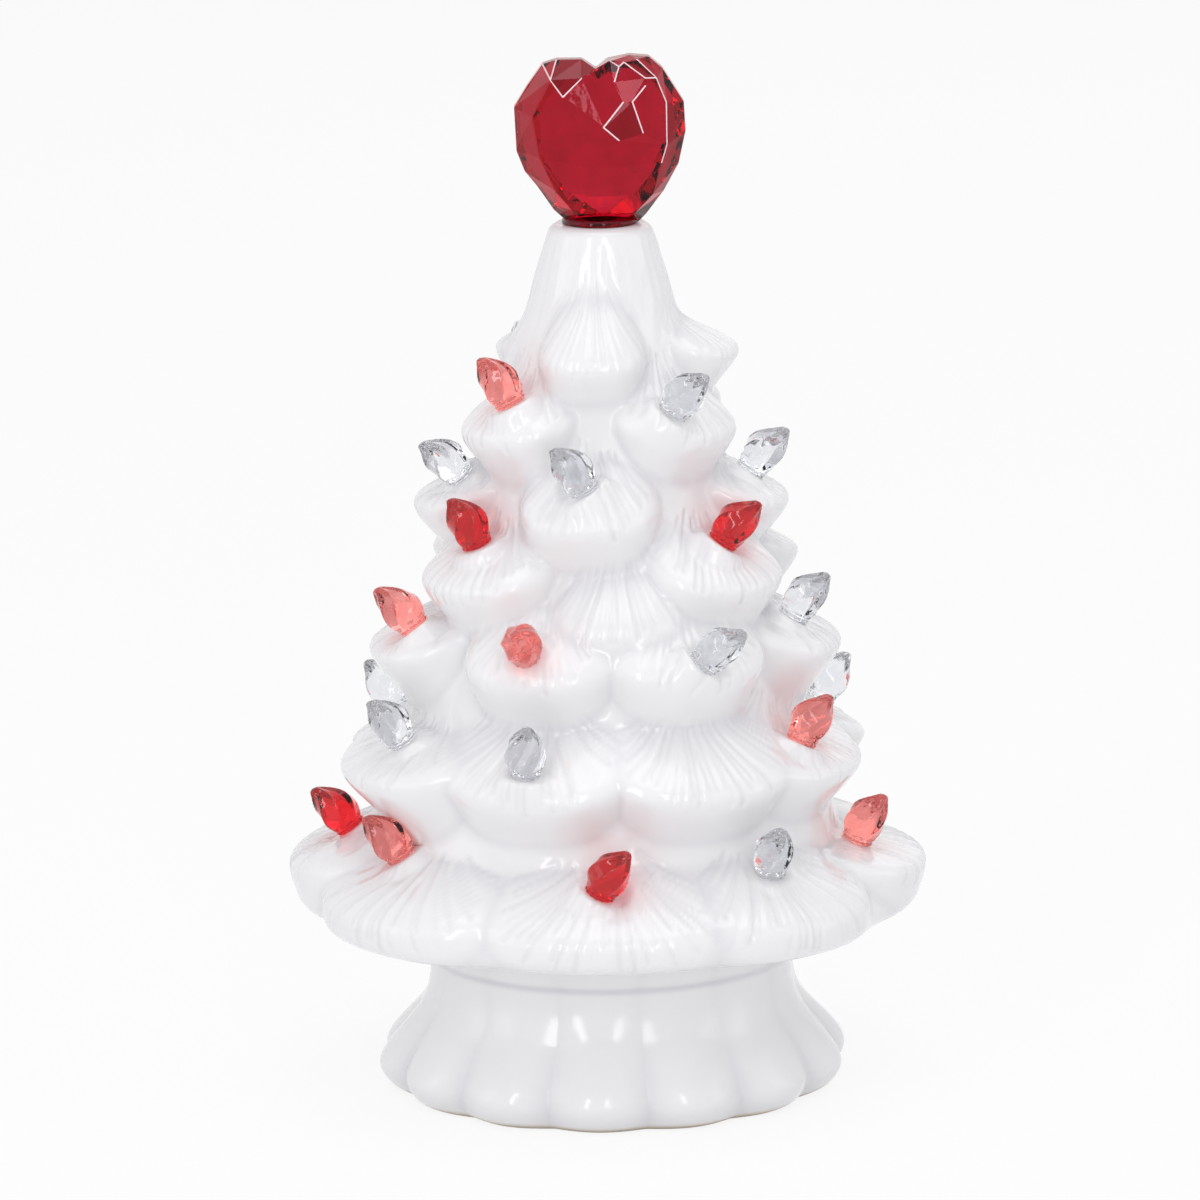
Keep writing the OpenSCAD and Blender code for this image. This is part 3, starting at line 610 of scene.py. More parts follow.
        # the lower edge draws in further at the front
        front = step(34, 10, np.abs(turn_between(direction, 0)))
        lip = LIP + 2.6 * front
        drawn = lip * (1 - np.sqrt(1 - (1 - np.clip(height / LIP, 0, 1)) ** 2))
        # painted shade: grey painted into the needle grooves and the creases where boughs meet
        painted_shade = np.clip(0.25 * carved / 0.22 + 0.7 * (1 - shares.max(0)) - 0.1, 0, 1)
        return at(direction, radius - drawn, height + DECK), painted_shade

    def seats(self, points):
        """Points with a flat seat under each bulb, and how much painted pink glow of the coloured bulbs
        lies on each.
        """
        painted_bulb_glow = np.zeros(points.shape[:2])
        for toward, up, heading, elevation, tint in BULBS:
            turned, origin = seat(toward, up, heading, elevation)
            axes = np.array(turned.to_3x3())
            local = (points - np.array(origin)) / MM @ axes
            off, lift = np.hypot(local[..., 0], local[..., 1]), local[..., 2:3]
            level = step(BULB_R + 1.9, BULB_R + 0.25, off) * step(4.8, 2.4, np.abs(lift[..., 0]))
            points = points - (lift * level[..., None] * MM) * axes[:, 2]
            # painted light: a pink glow painted on the glaze round each coloured bulb
            if tint != "clear":
                middle = np.hypot(off, lift[..., 0] - 5)
                glow = np.exp(-(np.maximum(middle - 4, 0) / 3.4) ** 2)
                painted_bulb_glow += glow * (0.3 if tint == "red" else 0.22)
        return points, np.clip(painted_bulb_glow, 0, 0.85)

    def execute(self, context):
        settings = context.scene.tree_settings
        points, painted_shade = self.surface(settings)
        points, painted_bulb_glow = self.seats(points)
        inner, top = self.inner_rings(settings.columns), self.top_rings(points[-1])
        rings = np.concatenate([inner, points, top], 0)
        faces = grid_faces(len(rings), settings.columns, closed_rows=True)
        piece = mesh_object("Glazed_tree_shell", rings, faces)
        edges = (len(inner), len(top)), (0, 0)
        point_values(piece, "painted_shade", np.pad(painted_shade, edges))
        point_values(piece, "painted_bulb_glow", np.pad(painted_bulb_glow, edges))
        finish_piece(piece, glaze_material(settings), "tree", "white_glaze", "tree_shell")
        return {"FINISHED"}

    def inner_rings(self, columns):
        """The hollow, from the heart's hole down to the floor, out under the skirt to the lip."""
        direction = np.linspace(0, 360, columns, endpoint=False)
        floor, roof = DECK + FLOOR_T, TREE_TOP - ROOF_T
        profile = [(HEART_HOLE_R, TREE_TOP), (HEART_HOLE_R, roof)]
        for z in np.linspace(roof, floor, 14):
            profile.append((max(core_radius(z - DECK) - WALL, HEART_HOLE_R), z))
        # the recess of the ring that keeps the tree in place, and the flat under the skirt
        profile += [(RING_HOLE_R + CHAMFER, floor), (RING_HOLE_R, floor - CHAMFER),
                    (RING_HOLE_R, DECK + CHAMFER), (RING_HOLE_R + CHAMFER, DECK), (40, DECK)]
        return np.array([at(direction, r, z) for r, z in profile])

    def top_rings(self, rim):
        """Closes the flat top in to the heart's hole."""
        centre = rim.mean(0)
        return np.array([centre + (rim - centre) * share for share in (0.8, 0.55)])


class TREE_OT_bulbs(bpy.types.Operator):
    """Twisted flame bulbs with their collars and pegs"""
    bl_idname = "tree.bulbs"
    bl_label = "Bulbs"

    # Points round a bulb and along it, and beads round its collar
    AROUND, UP, BEADS = 64, 44, 14
    # Girth along the bulb: share of its length, share of its radius
    FLAME = np.array([[0, 0.74], [0.05, 0.8], [0.12, 0.88], [0.22, 0.96], [0.34, 1], [0.46, 0.98],
                      [0.58, 0.9], [0.7, 0.75], [0.8, 0.58], [0.88, 0.42], [0.94, 0.31], [0.98, 0.2],
                      [1, 0.04]])

    def bulb_points(self, settings):
        """Rings of one bulb, standing on the origin along +Z, with its tip bent towards +X."""
        turn = np.linspace(0, 2 * math.pi, self.AROUND, endpoint=False)
        # the peg, short enough to stay inside the undercut boughs
        peg = [(1.1, -4.4), (1.9, -4.0), (1.95, -0.15), (0.6 * BULB_R, 0.0)]
        rings = [turned_ring(turn, r, z) for r, z in peg]
        for r, z in ((0.64, 0.05), (0.71, 0.22), (0.72, 0.5), (0.66, 0.72)):
            bead = r * BULB_R * (1 + 0.05 * np.cos(turn * self.BEADS))
            rings.append(turned_ring(turn, bead, z))
        share, girth = self.FLAME[:, 0], self.FLAME[:, 1]
        for t in 1 - (1 - np.linspace(0, 1, self.UP)) ** 1.25:
            r = np.interp(t, share, girth) * BULB_R
            soft = step(0, 0.12, t) * step(1.0, 0.85, t)
            # flat twisted facets that meet in ridges
            wave = (turn - settings.twist * t) * settings.lobes / (2 * math.pi)
            facet = np.abs((wave % 1) - 0.5) * 2
            r = r - settings.lobe_depth / MM * soft * (1 - facet ** 2)
            bend = 0.9 * max(t - 0.35, 0) ** 2 * BULB_R
            rings.append(turned_ring(turn, r, COLLAR + BULB_LEN * t) + np.array([bend, 0, 0]))
        return np.array(rings) * MM

    def bulb(self, name, rings, turned, origin):
        """A bulb on its seat, with both ends closed."""
        shape = len(rings), self.AROUND
        points = rings @ np.array(turned.to_3x3()).T + np.array(origin)
        return mesh_object(name, points, list(grid_faces(*shape)) + end_caps(*shape))

    def execute(self, context):
        settings = context.scene.bulb_settings
        # each tint: surface, streaks, and the depth's colour and density
        tints = {"clear": (settings.clear, "#DADCE4", "#C6C8CE", 30.0),
                 "pink": (settings.pink, "#FFC4BE", "#FF8078", 50.0),
                 "red": (settings.red, "#C81424", "#F01822", 90.0)}
        looks = {tint: clear_plastic(f"{tint.title()} polystyrene, moulded", *values, 1.5, 0.03)
                 for tint, values in tints.items()}
        rings = self.bulb_points(settings)
        for i, (toward, up, heading, elevation, tint) in enumerate(BULBS):
            turned, origin = seat(toward, up, heading, elevation)
            low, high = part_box(bulb_name(i))
            slack = 0.5 * MM
            if not all(low[k] - slack < origin[k] < high[k] + slack for k in range(3)):
                raise RuntimeError(f"{bulb_name(i)} isn't where its seat is")
            piece = self.bulb(f"Bulb_{tint}_{i + 1}", rings, turned, origin)
            finish_piece(piece, looks[tint], "tree", f"bulb_{tint}", bulb_name(i))
        return {"FINISHED"}


class TREE_OT_heart(bpy.types.Operator):
    """Cut acrylic heart with its foot and peg"""
    bl_idname = "tree.heart"
    bl_label = "Heart"

    # Outline from the notch round to the right: x from the axis and height above the
    # table, in millimetres
    OUTLINE = [(-0.3, 171.8), (1.6, 173.3), (5.2, 174.0), (8.4, 173.7), (10.6, 171.8), (14.1, 166.1),
               (14.3, 161.2), (13.1, 155.9), (10.6, 151.4), (7.7, 147.6), (6.3, 146.2), (-5.2, 146.2),
               (-7.6, 148.4), (-10.3, 152.4), (-12.3, 154.9), (-13.6, 158.3), (-13.9, 165.6),
               (-11.7, 169.1), (-9.1, 172.7), (-6.8, 173.4), (-2.6, 173.4)]
    # Corners of the front facets: x, how far in front of the middle, and height
    CORNERS = [(-0.3, 5.0, 172.4), (-7.8, 6.4, 170.8), (-5.8, 6.94, 168.0), (-2.7, 5.66, 170.9),
               (2.0, 4.42, 173.6), (3.5, 4.71, 172.6), (2.7, 5.68, 170.2), (4.1, 6.85, 167.0),
               (0.8, 8.4, 163.1), (3.3, 8.3, 160.9), (4.3, 3.9, 173.2), (6.5, 3.0, 173.5),
               (7.8, 5.1, 170.7), (9.6, 4.2, 170.6), (7.8, 5.5, 169.5), (5.6, 6.7, 167.0),
               (7.3, 7.2, 161.9), (11.2, 4.2, 166.5), (11.2, 5.0, 159.6), (10.3, 5.2, 156.7),
               (8.7, 4.8, 151.3), (5.7, 4.8, 148.2),
               (-10.9, 5.75, 164.6), (-9.8, 6.0, 157.9), (-7.2, 5.6, 152.1), (-3.7, 4.8, 147.9),
               (0.0, 8.3, 156.4), (4.3, 7.9, 156.6)]
    # Front facets: numbers under 21 are points of the outline, the rest are corners
    FACETS = [(18, 19, 22), (19, 20, 24, 23, 22), (20, 0, 21, 24), (0, 1, 25, 21),
              (1, 2, 32, 31, 26, 25), (2, 3, 32), (3, 4, 34, 32), (31, 32, 34, 33),
              (26, 31, 33, 35, 36, 28, 27), (23, 24, 21, 25, 26, 27, 28, 29), (17, 18, 22, 43, 16),
              (16, 43, 15), (15, 43, 44, 14), (14, 44, 45, 13), (13, 45, 12), (12, 45, 46, 11),
              (22, 23, 29, 47, 44, 43), (33, 34, 38, 39, 37, 36, 35), (28, 36, 37, 30, 29),
              (4, 5, 38, 34), (5, 6, 39, 38), (6, 7, 40, 39), (7, 8, 41, 40), (8, 9, 42, 41),
              (9, 10, 42), (10, 11, 46, 42), (44, 47, 46, 45), (29, 30, 48, 47),
              (37, 39, 40, 48, 30), (48, 40, 41, 42), (47, 48, 42, 46)]
    # Edges of the front that are painted white as glints, a painted highlight
    WORN = [(18, 22), (19, 22), (22, 23), (23, 24), (25, 26), (26, 27), (31, 33), (33, 34), (34, 32),
            (28, 29), (29, 30), (36, 37), (35, 36), (34, 38), (38, 39), (39, 40), (26, 31)]
    # Facets painted in the deeper tint: painted shade where the facets turn from the light
    PAINTED_SHADE_FACETS = (1, 2, 7, 18, 20, 21, 22)
    # Middle of the outline, and half the thickness at its rim
    MIDDLE = (0.2, 160.5)
    GIRDLE = 1.2
    # Rings of the back: share of the outline's size and of half the thickness
    CROWN = (0.87, 0.66)
    TABLE = (0.62, 0.985)
    # A face painted as a glint is smaller than this, in square metres, and this near to its edge, in edge
    # widths
    WORN_AREA, WORN_REACH = 4e-6, 1.2
    # Outline of the peg and the foot, from the bottom up: radius and height
    FOOT = [(0.5, 138.2), (3.1, 138.2), (3.3, 138.5), (3.3, 145.95), (6.0, 145.95), (6.3, 146.1),
            (6.35, 146.6), (6.1, 147.0), (5.4, 147.4), (4.4, 147.8), (0.5, 147.8)]

    def facets(self, bm):
        """All faces of the heart, sharp, with the facets of painted shade marked deep. Returns the two ends
        of each edge painted as a glint.
        """
        n = len(self.OUTLINE)
        low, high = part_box("heart_topper")
        depth = (high.y - low.y) / 2 / MM
        mid = Vector(self.MIDDLE)
        girdle = [Vector(p) for p in self.OUTLINE]
        halfway = [(girdle[i] + girdle[(i + 1) % n]) / 2 for i in range(n)]

        def drawn_in(points, share):
            return [mid + (p - mid) * share for p in points]

        def ring(points, out):
            return [bm.verts.new(Vector((p.x, out, p.y)) * MM) for p in points]

        front = ring(girdle, -self.GIRDLE)
        front += [bm.verts.new(Vector((x, -out, z)) * MM) for x, out, z in self.CORNERS]
        worn_glint = [(front[a].co.copy(), front[b].co.copy()) for a, b in self.WORN]
        deep = bm.faces.layers.float.new("deep")
        for k, facet in enumerate(self.FACETS):
            face = bm.faces.new([front[point] for point in facet])
            face[deep] = float(k in self.PAINTED_SHADE_FACETS)
        back = ring(girdle, self.GIRDLE)
        crown = ring(drawn_in(halfway, self.CROWN[0]), self.CROWN[1] * depth)
        table = ring(drawn_in(girdle, self.TABLE[0]), self.TABLE[1] * depth)
        for i in range(n):
            j = (i + 1) % n
            bm.faces.new((back[i], back[j], crown[i]))
            bm.faces.new((back[j], crown[j], crown[i]))
            bm.faces.new((crown[i - 1], crown[i], table[i]))
            bm.faces.new((crown[i], table[j], table[i]))
            bm.faces.new((front[i], back[i], back[j], front[j]))
        bm.faces.new(table)
        return worn_glint

    def paint_glint_edges(self, bm, worn_glint, edge):
        """Gives the narrow faces along the glint edges the second material, the painted highlight."""
        for face in bm.faces:
            if face.calc_area() < self.WORN_AREA:
                middle = face.calc_center_median()
                for a, b in worn_glint:
                    span = b - a
                    share = min(max((middle - a).dot(span) / span.length_squared, 0), 1)
                    if (a + span * share - middle).length < self.WORN_REACH * edge:
                        face.material_index = 1

    def execute(self, context):
        settings = context.scene.heart_settings
        bm = bmesh.new()
        worn_glint = self.facets(bm)
        bmesh.ops.recalc_face_normals(bm, faces=bm.faces)
        bmesh.ops.bevel(bm, geom=list(bm.edges), offset=settings.edge, segments=1, affect="EDGES",
                        clamp_overlap=True)
        self.paint_glint_edges(bm, worn_glint, settings.edge)
        mesh = bpy.data.meshes.new("Cut acrylic heart")
        material = clear_plastic("Crimson acrylic, cast and polished", settings.acrylic,
                                 settings.acrylic_streak_and_shade, "#F01020", 60.0, 1.49, 0.02, "#E0A8B4")
        mesh.materials.append(material)
        mesh.materials.append(glint_painted_acrylic(settings))
        bm.to_mesh(mesh)
        bm.free()
        piece = bpy.data.objects.new("Cut_heart", mesh)
        context.scene.collection.objects.link(piece)
        finish_piece(piece, None, "heart", "heart_acrylic", "heart_topper")
        shape = len(self.FOOT), 72
        turn = np.linspace(0, 360, shape[1], endpoint=False)
        foot = mesh_object("Heart_foot", [at(turn, r, z) for r, z in self.FOOT],
                           list(grid_faces(*shape)) + end_caps(*shape))
        finish_piece(foot, material, "heart", "heart_acrylic")
        return {"FINISHED"}


class TREE_OT_base(bpy.types.Operator):
    """Fluted base with its deck, locating ring and bare foot"""
    bl_idname = "tree.base"
    bl_label = "Base"

    # Share of the way from the neck radius to the foot radius, by height
    SIDE = np.array([[-1, 0.6], [0, 0.62], [1, 0.76], [2.8, 0.93], [4.5, 1], [6.2, 0.95], [7.9, 0.81],
                     [9.7, 0.64], [11.4, 0.46], [13.1, 0.28], [14.8, 0.16], [16.5, 0.08], [19.5, 0.02],
                     [22, 0], [26, 0], [30, 0]])
    # Radius of the foot over the lobes and of the neck, and direction of a lobe's middle
    FOOT_R, NECK_R, LOBE_AT = 39.8, 30.4, -4
    # Inside, from the deck down to the foot: the locating ring, the hole for the dome and the
    # chamber of the light unit
    INSIDE = [(25, 30), (25, 32.8), (24.6, 33.2), (22.4, 33.2), (22, 32.8), (22, 30), (14.3, 30),
              (14, 29.7), (14, 27), (26.5, 27), (26.5, 3.2), (29.3, 3.2), (29.3, 0.3), (29.7, 0)]
    # Points round the base, and rounding of the foot's lower edge
    COLUMNS = 560
    EDGE_R = 1.3

    def execute(self, context):
        settings = context.scene.tree_settings
        direction = np.linspace(0, 360, self.COLUMNS, endpoint=False)
        fine = np.arange(-3, 33.01, 0.1)
        soft = softened(self.SIDE, fine, 25, 9)[1]
        rings, bare, painted_shade = [], [], []
        for z in np.concatenate([[0, 0.15, 0.35, 0.6, 0.9, self.EDGE_R], np.arange(1.7, 30.01, 0.35)]):
            share = np.interp(z, fine, soft)
            lobes = np.abs(np.cos(np.radians((direction - self.LOBE_AT) * settings.flutes / 2)))
            flute = settings.flute_depth / MM * (0.12 + 1.1 * share) * (1 - lobes ** 1.15)
            radius = self.NECK_R + (self.FOOT_R - self.NECK_R) * share - flute
            # a fine step runs round the neck, and the foot's lower edge is rounded
            radius = radius + 0.45 * step(22.2, 23.2, z) + 0.5 * step(23.5, 29.5, z)
            radius = radius - self.EDGE_R * (1 - min(z / self.EDGE_R, 1)) ** 2
            rings.append(at(direction, radius, z))
            bare.append(step(1.15, 0.75, z) + 0 * direction)
            # painted shade: grey painted into the flute valleys and under the fine step round the neck
            painted_shade_under_step = 0.6 * step(21.6, 22.6, z) * step(23.6, 22.8, z)
            painted_shade.append(np.clip((0.1 + 0.35 * share) * (1 - lobes) ** 2 + painted_shade_under_step, 0, 1))
        # the inside is bare clay up to the deck
        rings += [at(direction, r, z) for r, z in self.INSIDE]
        bare += [np.full(self.COLUMNS, 1.0 if z < 28 else 0.0) for _, z in self.INSIDE]
        painted_shade += [np.zeros(self.COLUMNS) for _ in self.INSIDE]
        faces = grid_faces(len(rings), self.COLUMNS, closed_rows=True)
        piece = mesh_object("Fluted_base", np.array(rings), faces)
        point_values(piece, "bare", np.array(bare))
        point_values(piece, "painted_shade", np.array(painted_shade))
        finish_piece(piece, glaze_material(settings), "base", "white_glaze", "base_shell")
        return {"FINISHED"}


class TREE_OT_unit(bpy.types.Operator):
    """Light unit inside the base: moulded parts with rounded edges, screws, grip, knob and finishes"""
    bl_idname = "tree.unit"
    bl_label = "Light unit"

    # An edge that turns by more than this, in degrees, is rounded
    SHARP = 40

    def rounded(self, name, node, body, slot, material, radius):
        """A moulded part: the solid's shape with every sharp edge rounded."""
        bm = bmesh.new()
        bm.from_mesh(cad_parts[node].data)
        bmesh.ops.remove_doubles(bm, verts=bm.verts, dist=1e-6)
        bmesh.ops.dissolve_limit(bm, angle_limit=math.radians(1), verts=bm.verts, edges=bm.edges)
        sharp = [edge for edge in bm.edges
                 if len(edge.link_faces) == 2 and edge.calc_face_angle(0) > math.radians(self.SHARP)]
        bmesh.ops.bevel(bm, geom=sharp, offset=radius, segments=2, affect="EDGES", clamp_overlap=True)
        mesh = bpy.data.meshes.new(name)
        bm.to_mesh(mesh)
        bm.free()
        piece = bpy.data.objects.new(name, mesh)
        bpy.context.scene.collection.objects.link(piece)
        return finish_piece(piece, material, body, slot, node)

    # Screws, in millimetres: radius of the head and of the thread, depth and turns of the
    # thread, and length from the head's face to the end
    HEAD_R, THREAD_R = 2.0, 0.95
    THREAD_DEPTH, THREADS = 0.22, 10
    SCREW_LEN = 7.4

    def screw(self, name, x, y, low, material, body, *nodes):
        """A pan-head screw seen from below, with a cross recess in its head."""
        turn = np.linspace(0, 360, 64, endpoint=False)
        rings = []
        for r in (0.05, 0.3, 0.55, 0.8, 0.95, 1.1, 1.3, 1.6, 1.85):
            across = np.abs(r * np.sin(np.radians(turn)))
            along = np.abs(r * np.cos(np.radians(turn)))
            arm = step(0.3, 0.18, np.minimum(across, along)) * step(1.2, 1.0, r)
            rings.append((r, low + 0.16 * (r / 1.85) ** 2 + 0.5 * arm * (1 - 0.4 * r)))
        rings += [(self.HEAD_R - 0.03, low + 0.3), (self.HEAD_R, low + 0.5),
                  (self.HEAD_R, low + 0.88), (self.THREAD_R, low + 0.9)]
        # thread 0.6 mm apart: crest and root in turn
        for k in range(2 * self.THREADS):
            rings.append((self.THREAD_R - self.THREAD_DEPTH * (k % 2), low + 1.0 + 0.3 * k))
        rings.append((0.2, low + self.SCREW_LEN))
        points = [at(turn, r, z) + np.array([x, y, 0]) * MM for r, z in rings]
        shape = len(rings), len(turn)
        piece = mesh_object(name, points, list(grid_faces(*shape)) + end_caps(*shape))
        piece.data.set_sharp_from_angle(angle=math.radians(50))
        return finish_piece(piece, material, body, "screw_steel", *nodes)

    def ridged(self, name, low, high, ridges, depth, material, body, slot, *nodes):
        """A block whose underside has ridges across it."""
        low, high = np.array(low) / MM, np.array(high) / MM
        xs = np.linspace(low[0], high[0], ridges * 8 + 1)
        turn = (xs - low[0]) / (high[0] - low[0]) * 2 * math.pi * ridges
        wave = depth * (0.5 - 0.5 * np.cos(turn))
        under = [(x, low[2] + depth - w) for x, w in zip(xs, wave)]
        loop = under + [(high[0], high[2]), (low[0], high[2])]
        points = [np.array([[x, y, z] for x, z in loop]) * MM for y in (low[1], high[1])]
        corners = len(loop)
        sides = [tuple(range(corners)), tuple(range(2 * corners - 1, corners - 1, -1))]
        faces = list(grid_faces(2, corners)) + sides
        piece = mesh_object(name, points, faces, smooth=False)
        return finish_piece(piece, material, body, slot, *nodes)

    def screws(self, material):
        """The door's screw, and the plate's three on their circle."""
        low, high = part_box("door_screw")
        middle = (low + high) / 2 / MM
        self.screw("Door_screw", middle.x, middle.y, low.z / MM, material, "door", "door_screw")
        low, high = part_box("plate_screws")
        # the nearest screw's middle lies a head's radius behind the near end of the box
        radius = -(low.y / MM + self.HEAD_R)
        for k, turn in enumerate((40, 140, 270)):
            x, y = radius * math.cos(math.radians(turn)), radius * math.sin(math.radians(turn))
            nodes = ["plate_screws"] if k == 0 else []
            self.screw(f"Plate_screw_{k + 1}", x, y, low.z / MM, material, "base", *nodes)

    def hardware(self, white, grey, black):
        """The moulded pieces that show from below."""
        self.rounded("Unit_plate", "unit_plate", "base", "white_plastic", white, 0.00022)
        self.rounded("Battery_door", "battery_door", "door", "grey_plastic", grey, 0.00022)
        self.rounded("Unit_housing", "unit_housing", "base", "white_plastic", white, 0.0003)
        low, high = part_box("switch_knob")
        self.ridged("Switch_knob", low, high, 4, 0.25, black, "knob", "black_plastic", "switch_knob")
        # the grip stands 0.3 mm out of the door, near its free end
        low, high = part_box("battery_door")
        middle = (low.y + high.y) / 2
        near = low.x + 0.0015, middle - 0.0035, low.z - 0.0003
        far = low.x + 0.0055, middle + 0.0035, low.z + 0.0002
        self.ridged("Door_grip", near, far, 5, 0.28, grey, "door", "grey_plastic")

    def execute(self, context):
        white = moulded_plastic("White ABS, moulded", "#ECECE8", 0.45)
        grey = moulded_plastic("Grey ABS, moulded", "#D2D3D3", 0.5)
        black = moulded_plastic("Black ABS, moulded", "#1B1B1D", 0.4)
        strip = plated_metal("Spring steel, nickel plated", "#C9C6BE", 0.25)
        steel = plated_metal("Cell can, nickel plated steel", "#CFCFD2", 0.2)
        screw = plated_metal("Pan screws, zinc plated steel", "#B9BBC2", 0.3)
        looks = {
            "unit_plate": white, "unit_housing": white, "battery_bay": black, "plate_contact": strip,
            "spring_contact": strip, "button_cell_1": steel, "button_cell_2": steel, "button_cell_3": steel,
            "battery_door": grey, "door_screw": screw, "plate_screws": screw, "switch_body": black,
            "switch_knob": black, "gasket_ring": moulded_plastic("Silicone seal, moulded", "#D8D8D6", 0.6),
            "led_board": moulded_plastic("Circuit board, green solder mask", "#1F6B45", 0.3),
            "resistor": moulded_plastic("Resistor, tan lacquer", "#CDB58A", 0.35),
            "light_dome": moulded_plastic("Dome, frosted ivory polypropylene", "#F3F0E4", 0.5),
            "wire_red": moulded_plastic("Wire, red PVC", "#C2202A", 0.35),
            "wire_black": moulded_plastic("Wire, black PVC", "#202022", 0.35),
            "wire_white": moulded_plastic("Wire, white PVC", "#E8E8E4", 0.35),
        }
        led = moulded_plastic("Lamp, warm white epoxy", "#F4EFC8", 0.15)
        looks.update({f"led_{i}": led for i in (1, 2, 3)})
        self.hardware(white, grey, black)
        self.screws(screw)
        for name, material in looks.items():
            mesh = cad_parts[name].data
            mesh.materials.clear()
            mesh.materials.append(material)
        return {"FINISHED"}


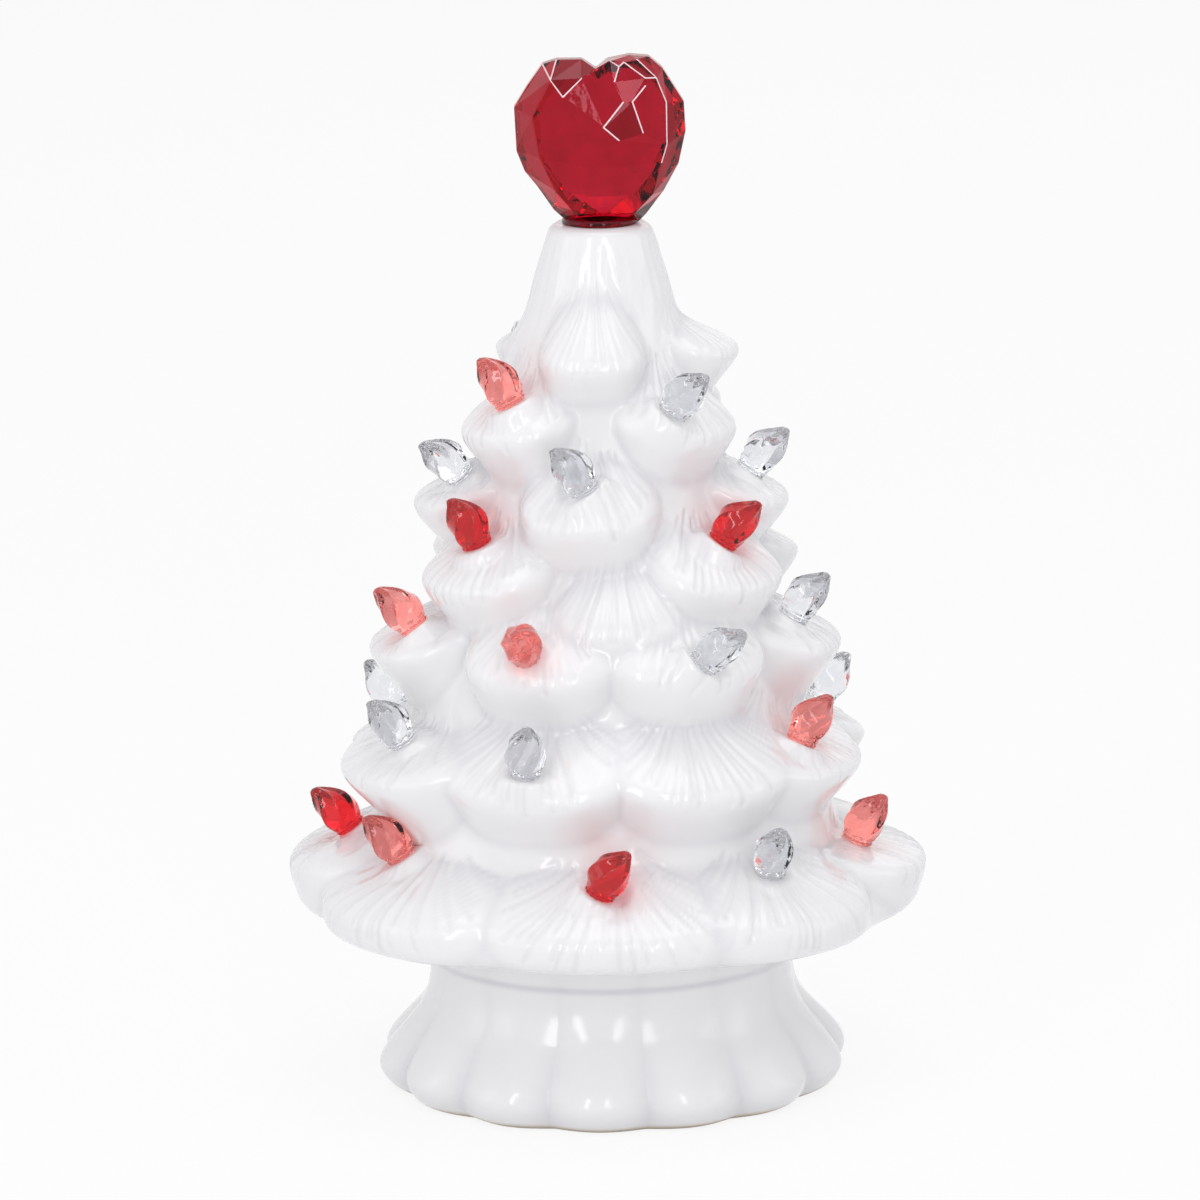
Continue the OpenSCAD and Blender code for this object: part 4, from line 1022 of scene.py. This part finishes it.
class TREE_OT_stage(bpy.types.Operator):
    """Floor, softboxes, white surround and camera"""
    bl_idname = "tree.stage"
    bl_label = "Stage"

    # Share of the floor's colour that the eye sees as plain white
    FLOOR_WHITE = 0.86
    # Point that the lamps face, then the camera's elevation, lean and distance
    MIDDLE = (0, 0, 0.09)
    LIFT, LEAN, FAR = math.radians(12), math.radians(0.9), 1.4

    def lamp(self, name, watts, wide, high, place, aim):
        """A rectangular softbox at a place, facing a point."""
        data = bpy.data.lights.new(name, "AREA")
        data.energy, data.shape, data.size, data.size_y = watts, "RECTANGLE", wide, high
        lamp = bpy.data.objects.new(name, data)
        bpy.context.scene.collection.objects.link(lamp)
        lamp.location = place
        lamp.rotation_euler = (Vector(aim) - Vector(place)).to_track_quat("-Z", "Y").to_euler()

    def white_to_eye(self, tree):
        """1 for camera, glossy and transmission rays."""
        rays = add_node(tree, "ShaderNodeLightPath").outputs
        seen = add_node(tree, "ShaderNodeMath",
                        {0: rays["Is Camera Ray"], 1: rays["Is Glossy Ray"]}, operation="MAXIMUM")
        both = add_node(tree, "ShaderNodeMath",
                        {0: seen.outputs["Value"], 1: rays["Is Transmission Ray"]}, operation="MAXIMUM")
        return both.outputs["Value"]

    def floor(self, settings):
        """A pale paper sweep, close under the foot, that shows white and keeps the object's shadow."""
        turn = np.linspace(0, 360, 96, endpoint=False)
        rings = [at(turn, r, -0.02) for r in (20, 150, 600, settings.floor_size / MM)]
        faces = list(grid_faces(len(rings), len(turn))) + [tuple(range(len(turn)))]
        floor = mesh_object("Floor", np.array(rings), faces)
        material, tree, out = new_material("Matt paper sweep")
        place = add_node(tree, "ShaderNodeTexCoord").outputs["Object"]
        # paper fibres about 1 mm apart
        grain = add_node(tree, "ShaderNodeTexNoise", {"Vector": place}, {"Scale": 900.0})
        paper = add_node(tree, "ShaderNodeMix", {"Factor": grain.outputs["Fac"]}, data_type="RGBA")
        paper.inputs["A"].default_value = linear(settings.floor)
        paper.inputs["B"].default_value = linear("#FCFCFC")
        matt = add_node(tree, "ShaderNodeBsdfDiffuse", {"Color": paper.outputs["Result"]})
        bright = add_node(tree, "ShaderNodeEmission", inputs={"Strength": 1.0})
        amount = add_node(tree, "ShaderNodeMath", {0: self.white_to_eye(tree)}, {1: self.FLOOR_WHITE},
                          operation="MULTIPLY")
        both = add_node(tree, "ShaderNodeMixShader",
                        {0: amount.outputs["Value"], 1: matt.outputs["BSDF"],
                         2: bright.outputs["Emission"]})
        tree.links.new(both.outputs["Shader"], out.inputs["Surface"])
        floor.data.materials.append(material)

    def surround(self, scene, settings):
        """A pale even light from all round, which the eye, gloss and glass see as white."""
        scene.world = bpy.data.worlds.new("White surround")
        scene.world.use_nodes = True
        tree = scene.world.node_tree
        tree.nodes.clear()
        around = add_node(tree, "ShaderNodeBackground",
                          inputs={"Color": linear(settings.surround), "Strength": settings.sky})
        white = add_node(tree, "ShaderNodeBackground",
                         inputs={"Color": (1, 1, 1, 1), "Strength": 1.0})
        mixed = add_node(tree, "ShaderNodeMixShader",
                         {0: self.white_to_eye(tree), 1: around.outputs["Background"],
                          2: white.outputs["Background"]})
        add_node(tree, "ShaderNodeOutputWorld", {"Surface": mixed.outputs["Shader"]})

    def lamps(self, settings):
        """Two tall strips in front, which draw upright bars on the glaze, and soft panels round."""
        for name, watts, *placed in (
                ("Left strip", settings.key * 0.55, 0.15, 1.0, (-0.55, -1.05, 0.55)),
                ("Right strip", settings.key * 0.45, 0.15, 1.0, (0.22, -1.15, 0.6)),
                ("Top softbox", settings.top, 0.9, 0.9, (0.1, -0.1, 1.3)),
                ("Left panel", settings.fill, 0.4, 0.9, (-1.1, -0.25, 0.45)),
                ("Right panel", settings.fill, 0.4, 0.9, (1.1, -0.25, 0.45)),
                ("Back panel", settings.fill, 0.9, 0.6, (0.2, 1.2, 0.7))):
            self.lamp(name, watts, *placed, self.MIDDLE)

    def camera(self, scene):
        """A long lens, 12 degrees up, that leans a little."""
        ahead = Vector((0, math.cos(self.LIFT), -math.sin(self.LIFT)))
        right, up = Vector((1, 0, 0)), Vector((0, math.sin(self.LIFT), math.cos(self.LIFT)))
        aim = Vector((0, 0, 0.0875)) - right * 0.001 - up * 0.00517
        data = bpy.data.cameras.new("Camera")
        data.sensor_width, data.lens, data.clip_end = 36.0, 252.0, 50.0
        camera = bpy.data.objects.new("Camera", data)
        scene.collection.objects.link(camera)
        side = right * math.cos(self.LEAN) - up * math.sin(self.LEAN)
        top = up * math.cos(self.LEAN) + right * math.sin(self.LEAN)
        turned = Matrix((side, top, -ahead)).transposed()
        camera.matrix_world = Matrix.Translation(aim - ahead * self.FAR) @ turned.to_4x4()
        scene.camera = camera

    def execute(self, context):
        scene = context.scene
        scene.view_settings.view_transform = "Standard"
        self.floor(scene.stage_settings)
        self.surround(scene, scene.stage_settings)
        self.lamps(scene.stage_settings)
        self.camera(scene)
        return {"FINISHED"}


class TREE_PT_panel(bpy.types.Panel):
    """Lists the pieces and their sizes"""
    bl_label = "Tabletop tree"
    bl_space_type = "VIEW_3D"
    bl_region_type = "UI"
    bl_category = "Tree"

    def draw(self, context):
        for group, operators in PANEL_ROWS:
            box = self.layout.box()
            settings = getattr(context.scene, group)
            for name in settings.bl_rna.properties.keys():
                if name not in ("rna_type", "name"):
                    box.prop(settings, name)
            for operator in operators:
                box.operator(operator)


PANEL_ROWS = (("tree_settings", ("tree.shell", "tree.base")), ("bulb_settings", ("tree.bulbs",)),
              ("heart_settings", ("tree.heart",)), ("stage_settings", ("tree.unit", "tree.stage")))
CLASSES = (TreeSettings, BulbSettings, HeartSettings, StageSettings, TREE_OT_shell, TREE_OT_bulbs,
           TREE_OT_heart, TREE_OT_base, TREE_OT_unit, TREE_OT_stage, TREE_PT_panel)
GROUPS = {"tree_settings": TreeSettings, "bulb_settings": BulbSettings, "heart_settings": HeartSettings,
          "stage_settings": StageSettings}


def register():
    """Makes the settings, operators and panel known."""
    for cls in CLASSES:
        bpy.utils.register_class(cls)
    for name, group in GROUPS.items():
        setattr(bpy.types.Scene, name, bpy.props.PointerProperty(type=group))


def unregister():
    """Takes them out again."""
    for name in GROUPS:
        delattr(bpy.types.Scene, name)
    for cls in reversed(CLASSES):
        bpy.utils.unregister_class(cls)


def main():
    """Builds every piece and the stage."""
    register()
    bpy.ops.tree.shell()
    bpy.ops.tree.base()
    bpy.ops.tree.bulbs()
    bpy.ops.tree.heart()
    bpy.ops.tree.unit()
    bpy.ops.tree.stage()
    bpy.context.view_layer.update()


if __name__ == "__main__":
    main()
